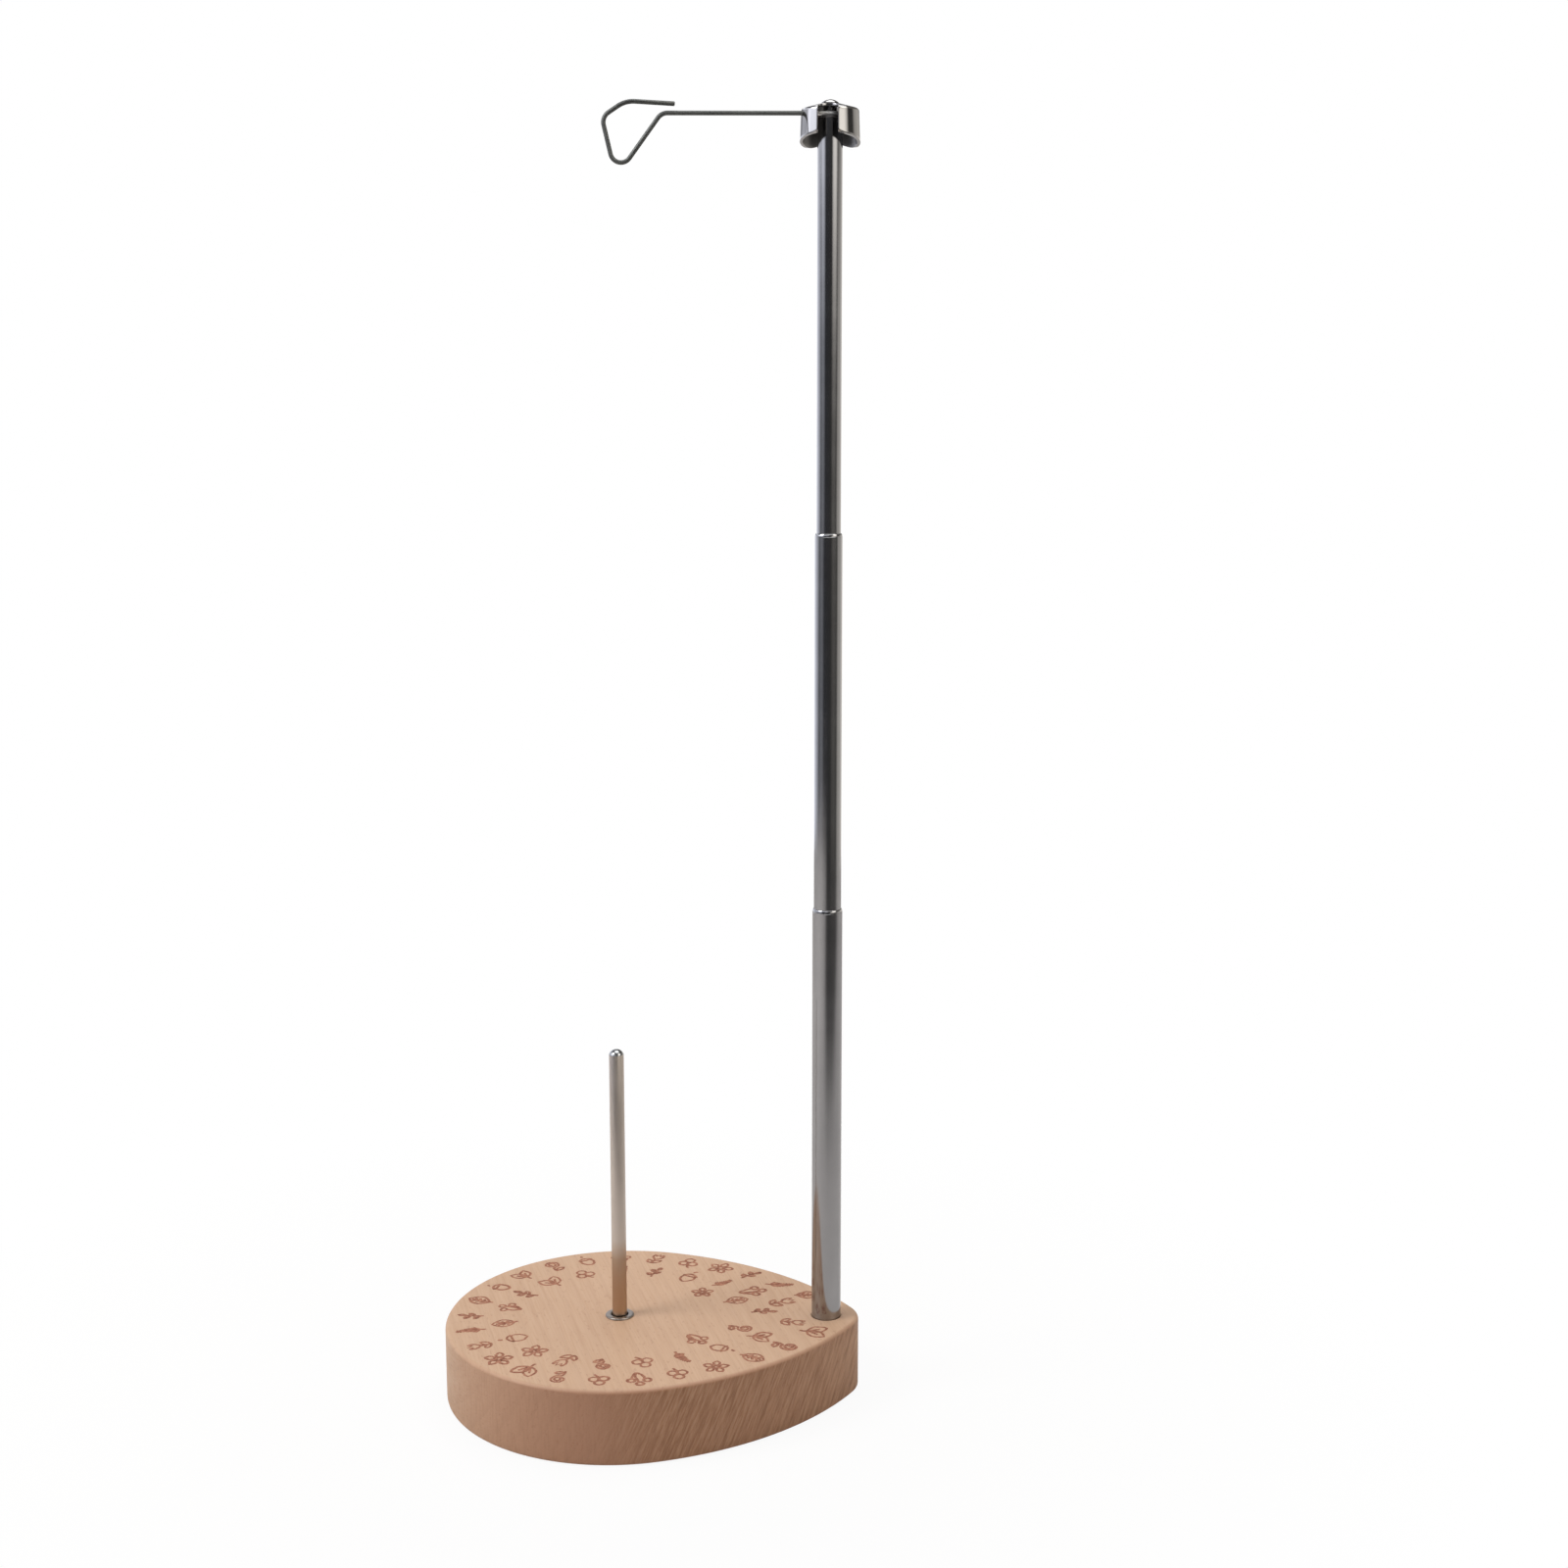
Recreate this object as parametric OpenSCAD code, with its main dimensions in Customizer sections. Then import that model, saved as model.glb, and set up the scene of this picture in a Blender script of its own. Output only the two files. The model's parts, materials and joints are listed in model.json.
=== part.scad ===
// Thread stand: a wooden base with a spool pin and a telescopic mast that carries a swivelling thread guide.
// Millimetres, +Z up. The origin is on the underside of the base, below the spool pin.
// +X runs from the spool pin to the mast.

/* [Base] */
// Radius of the round end of the base, about the spool pin
base_r = 53.5; // [48:0.5:62]
// Radius of the narrow end of the base
tip_r = 13; // [11:0.5:18]
// Distance from the spool pin to the centre of the narrow end
tip_x = 61; // [56:0.5:68]
// Radius of the two long side curves
side_r = 96; // [85:1:140]
// Thickness of the base
base_t = 23; // [20:0.5:30]
// Rounding of the top and bottom edges
base_edge = 1.2; // [0.5:0.1:2.5]

/* [Spool pin] */
// Diameter of the spool pin
pin_d = 4.5; // [4.2:0.1:6]
// Height of the spool pin above the base
pin_h = 85.5; // [50:0.5:140]
// Height of the domed end of the pin
pin_dome_h = 1.6; // [0.6:0.1:2]
// Diameter of the pin's threaded stud
stud_d = 3; // [2.5:0.1:3.5]
// Length of the stud in the insert
stud_l = 8; // [5:0.5:9]
// Diameter of the insert's barrel
insert_d = 7; // [6.6:0.1:8]
// Length of the insert's barrel
insert_l = 12; // [10:0.5:14]
// Diameter of the insert's flange
flange_d = 8.8; // [8.5:0.1:12]
// Thickness of the insert's flange
flange_t = 0.6; // [0.4:0.1:1.2]
// Diameter of the open mouth round the pin
mouth_d = 5.4; // [4.8:0.1:6.2]
// Depth of the mouth
mouth_h = 1.6; // [1:0.1:2]

/* [Mast] */
// Distance from the spool pin to the mast
mast_x = 64; // [60:0.5:66]
// Diameter of the upper tube
upper_d = 7.2; // [6.4:0.1:9]
// Wall of all three tubes
tube_wall = 0.25; // [0.2:0.01:0.4]
// Radial gap between the upper and middle tubes
upper_gap = 0.25; // [0.12:0.01:0.4]
// Radial gap between the middle and lower tubes
middle_gap = 0.15; // [0.12:0.01:0.4]
// Height of the lower tube above the base
lower_h = 129.3; // [110:0.1:160]
// Visible length of the middle tube, drawn out
middle_h = 112; // [90:0.1:120]
// Visible length of the upper tube, drawn out
upper_h = 116.6; // [100:0.1:140]
// Height of the rolled-in rim at the top of a tube
rim_h = 0.9; // [0.6:0.05:1.5]
// Outer rounding of that rim
rim_round = 0.3; // [0.1:0.05:0.35]
// Depth of the lower tube in the base
socket_h = 13; // [10:0.5:14]

/* [Mast friction feet] */
// Length of the friction shims
shim_h = 12; // [8:0.5:16]
// Gap between the two shims of a foot
shim_split = 0.6; // [0.3:0.1:1.5]
// How far the tube is necked in, on the radius, for the shims
neck_step = 0.35; // [0.25:0.01:0.5]
// Height of the foot bush's flange
foot_flange_h = 1.2; // [0.8:0.1:2]
// Length of the foot bush's spigot in the tube
spigot_h = 5; // [3:0.5:8]

/* [Mast fixing] */
// Length of the threaded plug in the lower tube's foot
plug_h = 13; // [11:0.5:14]
// Diameter of the screw's thread
screw_d = 4; // [3:0.1:4.5]
// Length of thread in the plug
screw_grip = 8; // [5:0.5:9]
// Diameter of the screw's head
head_d = 7.6; // [7:0.1:9]
// Height of the screw's head
head_h = 2.6; // [2.2:0.1:3]
// Width of the cross recess in the head
recess_w = 1; // [0.7:0.1:1.3]
// Span of the cross recess
recess_span = 4.2; // [3:0.1:5]
// Depth of the cross recess
recess_h = 1.3; // [0.8:0.1:1.6]
// Depth of the head below the underside
head_sunk = 1; // [0.4:0.1:1.4]
// Diameter of the washer
washer_d = 10; // [9:0.1:12]
// Thickness of the washer
washer_t = 0.8; // [0.5:0.1:1]

/* [Mast head] */
// Length of the plug in the upper tube's top
tip_plug_h = 12; // [10:0.5:16]
// Diameter of the rivet's shank
rivet_d = 3; // [2.4:0.1:3.4]
// Length of the shank in the plug
rivet_grip = 8; // [5:0.5:9]
// Diameter of the rivet's shoulder, on which the cap turns
shoulder_d = 3.8; // [3.6:0.1:4.2]
// Diameter of the rivet's domed head
rivet_head_d = 5; // [4.6:0.1:6]
// Height of the domed head
rivet_head_h = 1.1; // [0.8:0.1:1.8]
// Thickness of the bearing washer under the guide
bearing_t = 0.5; // [0.3:0.05:1]

/* [Guide cap] */
// Outside diameter of the cap at its upper edge
cap_d = 16.4; // [15:0.1:20]
// Thickness of the sheet
cap_wall = 0.8; // [0.5:0.05:1]
// Rise of the sloping roof from the upper edge to its crown
roof_rise = 1.5; // [1:0.1:2.4]
// Width of the flat land round the rivet's head
crown_land = 0.3; // [0.1:0.1:0.6]
// Rounding of the upper edge
cap_edge = 0.9; // [0.4:0.1:1.5]
// Height of the side lugs below the upper edge, midway between front and back
cap_h = 9; // [7:0.1:11]
// How far the lugs' lower ends stand out, on the radius
lug_flare = 0.5; // [0.1:0.1:1]
// Slope of the lugs' lower edges, down towards the back
lug_rake = 13; // [4:1:18]
// Width of the slots between the lugs
slot_w = 5.8; // [4:0.1:7]
// Distance from the mast axis at which the front slot ends in the roof
slot_in = 3.2; // [3:0.1:4]
// Rounding of the lugs' lower corners in front
lug_nose = 2.5; // [1:0.1:4]
// Rounding of the lugs' lower corners behind
lug_round = 4; // [2:0.1:5]
// Turn of the slots about the mast
slot_turn = -6; // [-12:1:12]

/* [Thread guide] */
// Diameter of the wire
wire_d = 1.3; // [1:0.05:1.8]
// Distance from the mast axis to the first bend
arm_l = 47.6; // [40:0.1:56]
// Reach of the loop beyond the first bend
loop_reach = 16.8; // [15:0.1:22]
// Depth of the loop's lower corner below the arm
loop_depth = 17.5; // [13:0.1:20]
// Distance of the lower corner beyond the first bend
loop_foot = 13; // [10:0.1:14]
// Depth of the loop's outer corner below the arm
loop_side = 1.1; // [0.5:0.1:2]
// Distance of the top corner beyond the first bend
loop_top = 10.1; // [9:0.1:12]
// Rise of the top corner above the arm
loop_rise = 3.3; // [3:0.1:5]
// Rise of the free end above the arm
end_rise = 2.5; // [2.2:0.1:3.5]
// How far the free end comes back past the first bend
end_back = 3.8; // [0:0.1:6]
// Radius of the bend at the arm
arm_bend = 3.4; // [1.5:0.1:4]
// Radius of the bend at the lower corner
foot_bend = 3; // [1.5:0.1:3.5]
// Radius of the bend at the outer corner
side_bend = 3.2; // [1.5:0.1:3.5]
// Radius of the bend at the top corner
top_bend = 8; // [4:0.1:9]

/* [Fits] */
// Radial gap of seated pieces
seat_gap = 0.03; // [0.02:0.01:0.06]
// Radial gap of sliding and turning pieces
slide_gap = 0.05; // [0.03:0.01:0.09]
// Radial gap of a screw in its clearance hole
hole_gap = 0.25; // [0.15:0.05:0.4]
// End play of pieces that move against each other
end_play = 0.1; // [0.05:0.05:0.3]

/* [Hidden] */
$fn = 96;
// How far a cutting shape runs past what it cuts
over = 1;
// How far one shape of a piece reaches into the next
lap = 0.05;
// Depth of the tiny flat on top of a dome
pole_cut = 0.01;
// How far the base's long curves stand proud of its round ends where they meet
blend_step = 0.04;
// Largest share of a rim's wall that its rounding takes
round_share = 0.8;

// Tubes, from the inside out
upper_r = upper_d / 2;
upper_bore_r = upper_r - tube_wall;
middle_bore_r = upper_r + upper_gap;
middle_r = middle_bore_r + tube_wall;
lower_bore_r = middle_r + middle_gap;
lower_r = lower_bore_r + tube_wall;

// Heights of the mast
socket_z = base_t - socket_h;
lower_top = base_t + lower_h;
middle_top = lower_top + middle_h;
upper_top = middle_top + upper_h;

// Height of the shoulder above a foot's shims, under the rim that stops it
function shoulder_z(rim_top) = rim_top - rim_h - end_play;
// Height of the top of a foot bush's flange
function foot_flange_z(rim_top) = shoulder_z(rim_top) - shim_h - 2 * end_play;

// Screw under the mast
bearing_z = head_sunk + head_h;
counterbore_h = bearing_z + washer_t;
screw_tip_z = socket_z + screw_grip;

// Spool pin and its insert
pin_top = base_t + pin_h;
flange_top = base_t + flange_t;
mouth_z = flange_top - mouth_h;

// Stack on top of the mast
wire_r = wire_d / 2;
rivet_r = rivet_d / 2;
wire_y = -(rivet_r + slide_gap + end_play + wire_r);
wire_z = upper_top + bearing_t + end_play + wire_r;
wire_top = wire_z + wire_r;
// Cap: slope of the roof, height of the skirt's inner corner, of the upper edge and of the crown
cap_r = cap_d / 2;
crown_r = rivet_head_d / 2 + crown_land;
roof_slope = atan2(roof_rise, cap_r - crown_r);
ceiling_z = wire_top + end_play;
cap_top = ceiling_z + cap_wall / cos(roof_slope) - cap_wall * tan(roof_slope);
crown_z = cap_top + roof_rise;
rivet_head_z = crown_z + end_play;
// Lugs: reach of their lower ends, and how far the slope takes these up in front and down behind
lug_reach = cap_r + lug_flare;
lug_drop = lug_reach * tan(lug_rake);
// Steps in a rounded corner of the cap's section
bend_steps = 6;
// Turn of the wire round the rivet
eye_angle = 250;
// How much the wire swells in a bend
wire_swell = 0.01;

// Corners of the thread guide beside the mast, along the arm and upwards, and the radius of each bend
guide_corners = [
  [0, 0],
  [-arm_l, 0],
  [-arm_l - loop_foot, -loop_depth],
  [-arm_l - loop_reach, -loop_side],
  [-arm_l - loop_top, loop_rise],
  [-arm_l + end_back, end_rise]
];
guide_bends = [0, arm_bend, foot_bend, side_bend, top_bend, 0];

wood = "burlywood";
steel = "silver";
dark_steel = "dimgray";
brass = "darkgoldenrod";

// Disc with rounded top and bottom edges, standing on the ground
module rounded_disc(r) {
  rotate_extrude($fn = 192) {
    square([r - base_edge, base_t]);
    translate([0, base_edge])
      square([r, base_t - 2 * base_edge]);
    for (z = [base_edge, base_t - base_edge])
      translate([r - base_edge, z])
        circle(base_edge, $fn = 48);
  }
}

// Egg-shaped block: two round ends and two long curves that run smoothly into both
module egg_block() {
  side_x = ((side_r - base_r) ^ 2 - (side_r - tip_r) ^ 2 + tip_x ^ 2) / (2 * tip_x);
  side_y = sqrt((side_r - base_r) ^ 2 - side_x ^ 2);
  // Directions from the two ends' centres to the points where the long curves start
  base_dir = [-side_x, side_y] / norm([side_x, side_y]);
  tip_dir = [tip_x - side_x, side_y] / norm([tip_x - side_x, side_y]);
  upper_edge = [
    base_dir * base_r / 2, base_dir * 2 * side_r,
    [tip_x, 0] + tip_dir * 2 * side_r, [tip_x, 0] + tip_dir * tip_r / 2
  ];
  lower_edge = [for (i = [len(upper_edge) - 1 : -1 : 0]) [upper_edge[i].x, -upper_edge[i].y]];
  // Region of the long curves, bounded by the radii at which they meet the round ends
  module side_region() {
    translate([0, 0, -over])
      linear_extrude(base_t + 2 * over)
        polygon(concat(upper_edge, lower_edge));
  }
  difference() {
    union() {
      rounded_disc(base_r);
      translate([tip_x, 0, 0])
        rounded_disc(tip_r);
    }
    side_region();
  }
  intersection() {
    translate([side_x, -side_y, 0])
      rounded_disc(side_r + blend_step);
    translate([side_x, side_y, 0])
      rounded_disc(side_r + blend_step);
    side_region();
  }
}

// Upright cylinder between two heights
module rod(r, z0, z1) {
  translate([0, 0, z0])
    cylinder(h = z1 - z0, r = r);
}

// Rectangle from the origin with its far upper corner rounded
module rounded_corner(size, r) {
  square([size.x - r, size.y]);
  square([size.x, size.y - r]);
  translate(size - [r, r])
    intersection() {
      circle(r, $fn = 48);
      square(r);
    }
}

// Spherical cap on a circle of radius r at height z, with a tiny flat on top
module dome(r, h, z) {
  ball_r = (r ^ 2 + h ^ 2) / (2 * h);
  intersection() {
    translate([0, 0, z + h + pole_cut - ball_r])
      sphere(ball_r);
    rod(r, z, z + h);
  }
}

module at_mast() {
  translate([mast_x, 0, 0])
    children();
}

module base_block() {
  color(wood)
    difference() {
      egg_block();
      rod(insert_d / 2 + seat_gap, base_t - insert_l - end_play, base_t + over);
      at_mast() {
        rod(lower_r + seat_gap, socket_z, base_t + over);
        rod(screw_d / 2 + hole_gap, 0, base_t);
        rod(washer_d / 2 + hole_gap, -over, counterbore_h);
      }
    }
}

module spool_pin() {
  shaft_top = pin_top - pin_dome_h;
  color(steel)
    union() {
      rod(stud_d / 2, mouth_z - stud_l, flange_top);
      rod(pin_d / 2, flange_top, shaft_top);
      dome(pin_d / 2, pin_dome_h, shaft_top);
    }
}

module pin_insert() {
  color(steel)
    difference() {
      union() {
        rod(flange_d / 2, base_t, flange_top);
        rod(insert_d / 2, base_t - insert_l, base_t);
      }
      rod(stud_d / 2 + seat_gap, base_t - insert_l - over, base_t);
      rod(mouth_d / 2, mouth_z, flange_top + over);
    }
}

// Plain tube wall with a rolled-in rim that keeps the next tube from coming out
module rimmed_wall(r, bore_r, rim_r, z0, z1) {
  rotate_extrude() {
    translate([bore_r, z0])
      square([r - bore_r, z1 - rim_h - z0]);
    translate([rim_r, z1 - rim_h])
      rounded_corner([r - rim_r, rim_h], min(rim_round, round_share * (r - rim_r)));
  }
}

// Necked foot of a tube, below the shoulder that rests on its shims
module necked_foot(r, rim_top) {
  neck_r = r - neck_step;
  shoulder = shoulder_z(rim_top);
  rotate_extrude() {
    translate([neck_r - tube_wall, foot_flange_z(rim_top)])
      square([tube_wall, shoulder + tube_wall - foot_flange_z(rim_top)]);
    translate([neck_r - tube_wall, shoulder])
      square([neck_step + tube_wall, tube_wall]);
  }
}

module lower_tube() {
  color(steel)
    at_mast()
      rimmed_wall(lower_r, lower_bore_r, middle_r + slide_gap, socket_z, lower_top);
}

module middle_tube() {
  color(steel)
    at_mast() {
      rimmed_wall(middle_r, middle_bore_r, upper_r + slide_gap, shoulder_z(lower_top), middle_top);
      necked_foot(middle_r, lower_top);
    }
}

module upper_tube() {
  shoulder = shoulder_z(middle_top);
  color(steel)
    at_mast() {
      rotate_extrude()
        translate([upper_bore_r, shoulder])
          square([tube_wall, upper_top - shoulder]);
      necked_foot(upper_r, middle_top);
    }
}

module mast_foot_plug() {
  color(brass)
    at_mast()
      difference() {
        rod(lower_bore_r - seat_gap, socket_z, socket_z + plug_h);
        rod(screw_d / 2 + seat_gap, socket_z - over, screw_tip_z + over);
      }
}

module mast_screw() {
  color(steel)
    at_mast()
      difference() {
        union() {
          rod(head_d / 2, head_sunk, bearing_z);
          rod(screw_d / 2, bearing_z, screw_tip_z);
        }
        for (turn = [0, 90])
          rotate(turn)
            translate([-recess_span / 2, -recess_w / 2, head_sunk - over])
              cube([recess_span, recess_w, recess_h + over]);
      }
}

module mast_washer() {
  color(steel)
    at_mast()
      difference() {
        rod(washer_d / 2, bearing_z, counterbore_h);
        rod(screw_d / 2 + hole_gap, bearing_z - over, counterbore_h + over);
      }
}

// Brass bush that closes a tube's foot and carries its shims
module foot_bush(r, outer_bore_r, rim_top) {
  flange_z = foot_flange_z(rim_top);
  color(brass)
    at_mast() {
      rod(outer_bore_r - slide_gap, flange_z - foot_flange_h, flange_z);
      rod(r - neck_step - tube_wall - seat_gap, flange_z, flange_z + spigot_h);
    }
}

// One of the two half shells that press against the bore of the tube outside
module shim(r, outer_bore_r, rim_top, side) {
  z0 = foot_flange_z(rim_top) + end_play;
  z1 = z0 + shim_h;
  color(brass)
    at_mast()
      difference() {
        rod(outer_bore_r - slide_gap, z0, z1);
        rod(r - neck_step + seat_gap, z0 - over, z1 + over);
        translate([-outer_bore_r, side * shim_split / 2 - (side + 1) * outer_bore_r, z0 - over])
          cube([2 * outer_bore_r, 2 * outer_bore_r, shim_h + 2 * over]);
      }
}

module middle_foot_bush() {
  foot_bush(middle_r, lower_bore_r, lower_top);
}

module middle_shim_front() {
  shim(middle_r, lower_bore_r, lower_top, -1);
}

module middle_shim_back() {
  shim(middle_r, lower_bore_r, lower_top, 1);
}

module upper_foot_bush() {
  foot_bush(upper_r, middle_bore_r, middle_top);
}

module upper_shim_front() {
  shim(upper_r, middle_bore_r, middle_top, -1);
}

module upper_shim_back() {
  shim(upper_r, middle_bore_r, middle_top, 1);
}

module tip_plug() {
  color(brass)
    at_mast()
      difference() {
        rod(upper_bore_r - seat_gap, upper_top - tip_plug_h, upper_top);
        rod(rivet_r + seat_gap, upper_top - rivet_grip - end_play, upper_top + over);
      }
}

module cap_rivet() {
  color(steel)
    at_mast() {
      rod(rivet_r, upper_top - rivet_grip, wire_top + end_play + lap);
      rod(shoulder_d / 2, wire_top + end_play, rivet_head_z + lap);
      dome(rivet_head_d / 2, rivet_head_h, rivet_head_z);
    }
}

module bearing_washer() {
  color(steel)
    at_mast()
      difference() {
        rod(upper_r, upper_top, upper_top + bearing_t);
        rod(rivet_r + seat_gap, upper_top - over, upper_top + bearing_t + over);
      }
}

// Sheet of the cap in section: a crown, a sloping roof and a skirt
module cap_section() {
  lug_z = cap_top - cap_h - lug_drop;
  hole_r = shoulder_d / 2 + slide_gap;
  outside = [[hole_r, crown_z], [crown_r, crown_z], [cap_r, cap_top], [lug_reach, lug_z]];
  inside = [
    [lug_reach - cap_wall, lug_z], [cap_r - cap_wall, ceiling_z],
    [crown_r - cap_wall * tan(roof_slope / 2), crown_z - cap_wall], [hole_r, crown_z - cap_wall]
  ];
  polygon(concat(rounded_path(outside, [0, 0, cap_edge, 0]), inside));
}

// Outline of a side lug, front to the left, with a sloping lower edge and rounded corners
module lug_outline() {
  top = roof_rise + over;
  corners = [
    [-lug_reach, top], [-lug_reach, lug_drop - cap_h], [lug_reach, -lug_drop - cap_h], [lug_reach, top]
  ];
  polygon(rounded_path(corners, [0, lug_nose, lug_round, 0]));
}

// Round-ended slot that runs outwards from a distance off the mast axis
module cap_slot(start) {
  height = cap_h + lug_drop;
  translate([0, start + slot_w / 2, cap_top - height - over])
    linear_extrude(height + roof_rise + 2 * over) {
      circle(slot_w / 2);
      translate([-slot_w / 2, 0])
        square([slot_w, cap_d]);
    }
}

module guide_cap() {
  color(steel)
    at_mast()
      difference() {
        rotate(slot_turn)
          intersection() {
            difference() {
              rotate_extrude()
                cap_section();
              cap_slot(cap_r - 2 * cap_wall);
              rotate(180)
                cap_slot(slot_in);
            }
            translate([-cap_d, 0, cap_top])
              rotate([90, 0, 90])
                linear_extrude(2 * cap_d)
                  lug_outline();
          }
        translate([0, wire_y, wire_z])
          rotate([0, -90, 0])
            cylinder(h = cap_d, r = wire_r + seat_gap);
      }
}

// Direction from one corner to the next
function step_dir(path, i) = (path[i + 1] - path[i]) / norm(path[i + 1] - path[i]);
// Angle of a direction
function heading(d) = atan2(d.y, d.x);
// Turn at a corner, between -180 and 180
function turn_at(path, i) =
  let (a = heading(step_dir(path, i)) - heading(step_dir(path, i - 1)))
  a > 180 ? a - 360 : a < -180 ? a + 360 : a;
// Length that a bend takes off the straight on each side of its corner
function bend_cut(path, bends, i) =
  i == 0 || i == len(path) - 1 ? 0 : bends[i] * tan(abs(turn_at(path, i)) / 2);

// Points round the bend at a corner
function bend_points(path, bends, i) =
  bends[i] == 0 ? [path[i]] :
  let (
    turn = turn_at(path, i),
    d = step_dir(path, i - 1),
    side = sign(turn),
    start = path[i] - d * bend_cut(path, bends, i),
    centre = start + side * bends[i] * [-d.y, d.x],
    first = heading(d) - side * 90
  )
  [for (k = [0 : bend_steps])
    let (a = first + turn * k / bend_steps)
    centre + bends[i] * [cos(a), sin(a)]];
// Path with its corners rounded
function rounded_path(path, bends) = [for (i = [0 : len(path) - 1]) each bend_points(path, bends, i)];

// Round wire along a flat path of straights and bends
module bent_wire(path, bends, r) {
  last = len(path) - 2;
  for (i = [0 : last]) {
    d = step_dir(path, i);
    cut = bend_cut(path, bends, i) - lap;
    end_cut = bend_cut(path, bends, i + 1) - (i == last ? 0 : lap);
    start = path[i] + d * cut;
    run = norm(path[i + 1] - path[i]) - cut - end_cut;
    translate(start)
      rotate([0, 90, heading(d)])
        cylinder(h = run, r = r);
  }
  for (i = [1 : last]) {
    turn = turn_at(path, i);
    side = sign(turn);
    d = step_dir(path, i - 1);
    centre = path[i] - d * bend_cut(path, bends, i) + side * bends[i] * [-d.y, d.x];
    first = heading(d) - side * 90 + min(turn, 0);
    translate(centre)
      rotate(first)
        rotate_extrude(angle = abs(turn))
          translate([bends[i], 0])
            circle(r + wire_swell, $fn = 32);
  }
}

module thread_guide() {
  color(dark_steel)
    at_mast()
      translate([0, 0, wire_z]) {
        rotate(-90)
          rotate_extrude(angle = eye_angle)
            translate([-wire_y, 0])
              circle(wire_r + wire_swell, $fn = 32);
        translate([0, wire_y, 0])
          rotate([90, 0, 0])
            bent_wire(guide_corners, guide_bends, wire_r);
      }
}

base_block();
spool_pin();
pin_insert();
lower_tube();
middle_tube();
upper_tube();
mast_foot_plug();
mast_screw();
mast_washer();
middle_foot_bush();
middle_shim_front();
middle_shim_back();
upper_foot_bush();
upper_shim_front();
upper_shim_back();
tip_plug();
cap_rivet();
bearing_washer();
guide_cap();
thread_guide();
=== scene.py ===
import json
import math
import random

import bmesh
import bpy
from mathutils import Matrix, Vector


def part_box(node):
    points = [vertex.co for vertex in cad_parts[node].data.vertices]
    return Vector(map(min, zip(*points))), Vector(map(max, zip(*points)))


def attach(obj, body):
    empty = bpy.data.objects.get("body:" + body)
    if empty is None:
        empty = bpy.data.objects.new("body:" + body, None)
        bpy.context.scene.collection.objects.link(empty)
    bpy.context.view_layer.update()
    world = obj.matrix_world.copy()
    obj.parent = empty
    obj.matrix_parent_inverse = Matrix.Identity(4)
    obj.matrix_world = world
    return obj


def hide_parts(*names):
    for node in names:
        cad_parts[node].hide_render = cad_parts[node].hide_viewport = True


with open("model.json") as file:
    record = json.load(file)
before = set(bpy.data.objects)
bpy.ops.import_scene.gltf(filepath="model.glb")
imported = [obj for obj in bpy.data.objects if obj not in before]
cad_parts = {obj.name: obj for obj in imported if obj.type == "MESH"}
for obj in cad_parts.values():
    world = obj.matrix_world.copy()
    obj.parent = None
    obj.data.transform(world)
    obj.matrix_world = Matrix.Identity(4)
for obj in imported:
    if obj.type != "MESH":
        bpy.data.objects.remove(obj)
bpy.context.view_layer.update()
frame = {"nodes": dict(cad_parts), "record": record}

# Lengths are in metres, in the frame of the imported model
MM = 0.001
FULL_TURN = 2 * math.pi

# Places and sizes taken from the frame
base_lo, base_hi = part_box("base_block")
base_r = -base_lo.x
base_top = base_hi.z
lower_lo, lower_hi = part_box("lower_tube")
middle_lo, middle_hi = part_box("middle_tube")
upper_lo, upper_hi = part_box("upper_tube")
mast = Vector(((lower_lo.x + lower_hi.x) / 2, 0, 0))
lower_r = lower_hi.x - mast.x
middle_r = middle_hi.x - mast.x
upper_r = upper_hi.x - mast.x
pin_lo, pin_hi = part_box("spool_pin")
pin_r = pin_hi.x
insert_lo, insert_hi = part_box("pin_insert")
flange_r = insert_hi.x
screw_lo, screw_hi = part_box("mast_screw")
screw_head_r = screw_hi.x - mast.x
screw_washer_lo, screw_washer_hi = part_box("mast_washer")
screw_washer_r = screw_washer_hi.x - mast.x
cap_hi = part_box("guide_cap")[1]
rivet_lo, rivet_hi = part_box("cap_rivet")
rivet_head_r = rivet_hi.x - mast.x
bearing_lo, bearing_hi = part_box("bearing_washer")

# Sizes that the boxes don't show, with angles in degrees
TIP_R = 13 * MM
SIDE_R = 96 * MM
BASE_EDGE = 1.2 * MM
TUBE_WALL = 0.25 * MM
RIM_H = 0.9 * MM
NECK_STEP = 0.35 * MM
END_PLAY = 0.1 * MM
SEAT_GAP = 0.03 * MM
SLIDE_GAP = 0.05 * MM
SOCKET_H = 13 * MM
INSERT_R = 3.5 * MM
INSERT_HOLE_H = 12.1 * MM
SCREW_R = 2 * MM
SCREW_HOLE_R = 2.25 * MM
COUNTERBORE_R = 5.25 * MM
COUNTERBORE_H = 4.4 * MM
STUD_R = 1.5 * MM
MOUTH_R = 2.7 * MM
MOUTH_H = 1.6 * MM
FLANGE_T = 0.6 * MM
PIN_DOME_H = 1.6 * MM
RIVET_R = 1.5 * MM
RIVET_SHOULDER_R = 1.9 * MM
RIVET_HEAD_H = 1.1 * MM
CAP_R = 8.2 * MM
CAP_WALL = 0.8 * MM
CAP_EDGE = 0.9 * MM
CAP_H = 9 * MM
CROWN_R = 2.8 * MM
ROOF_RISE = 1.5 * MM
LUG_FLARE = 0.5 * MM
LUG_RAKE = 13
LUG_NOSE = 2.5 * MM
LUG_ROUND = 4 * MM
SLOT_HALF = 2.9 * MM
FRONT_SLOT_IN = 3.2 * MM
SLOT_TURN = -6
CAP_SEAM = 0.001 * MM
SHEET_EDGE = 0.16 * MM
WIRE_R = 0.65 * MM
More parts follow.
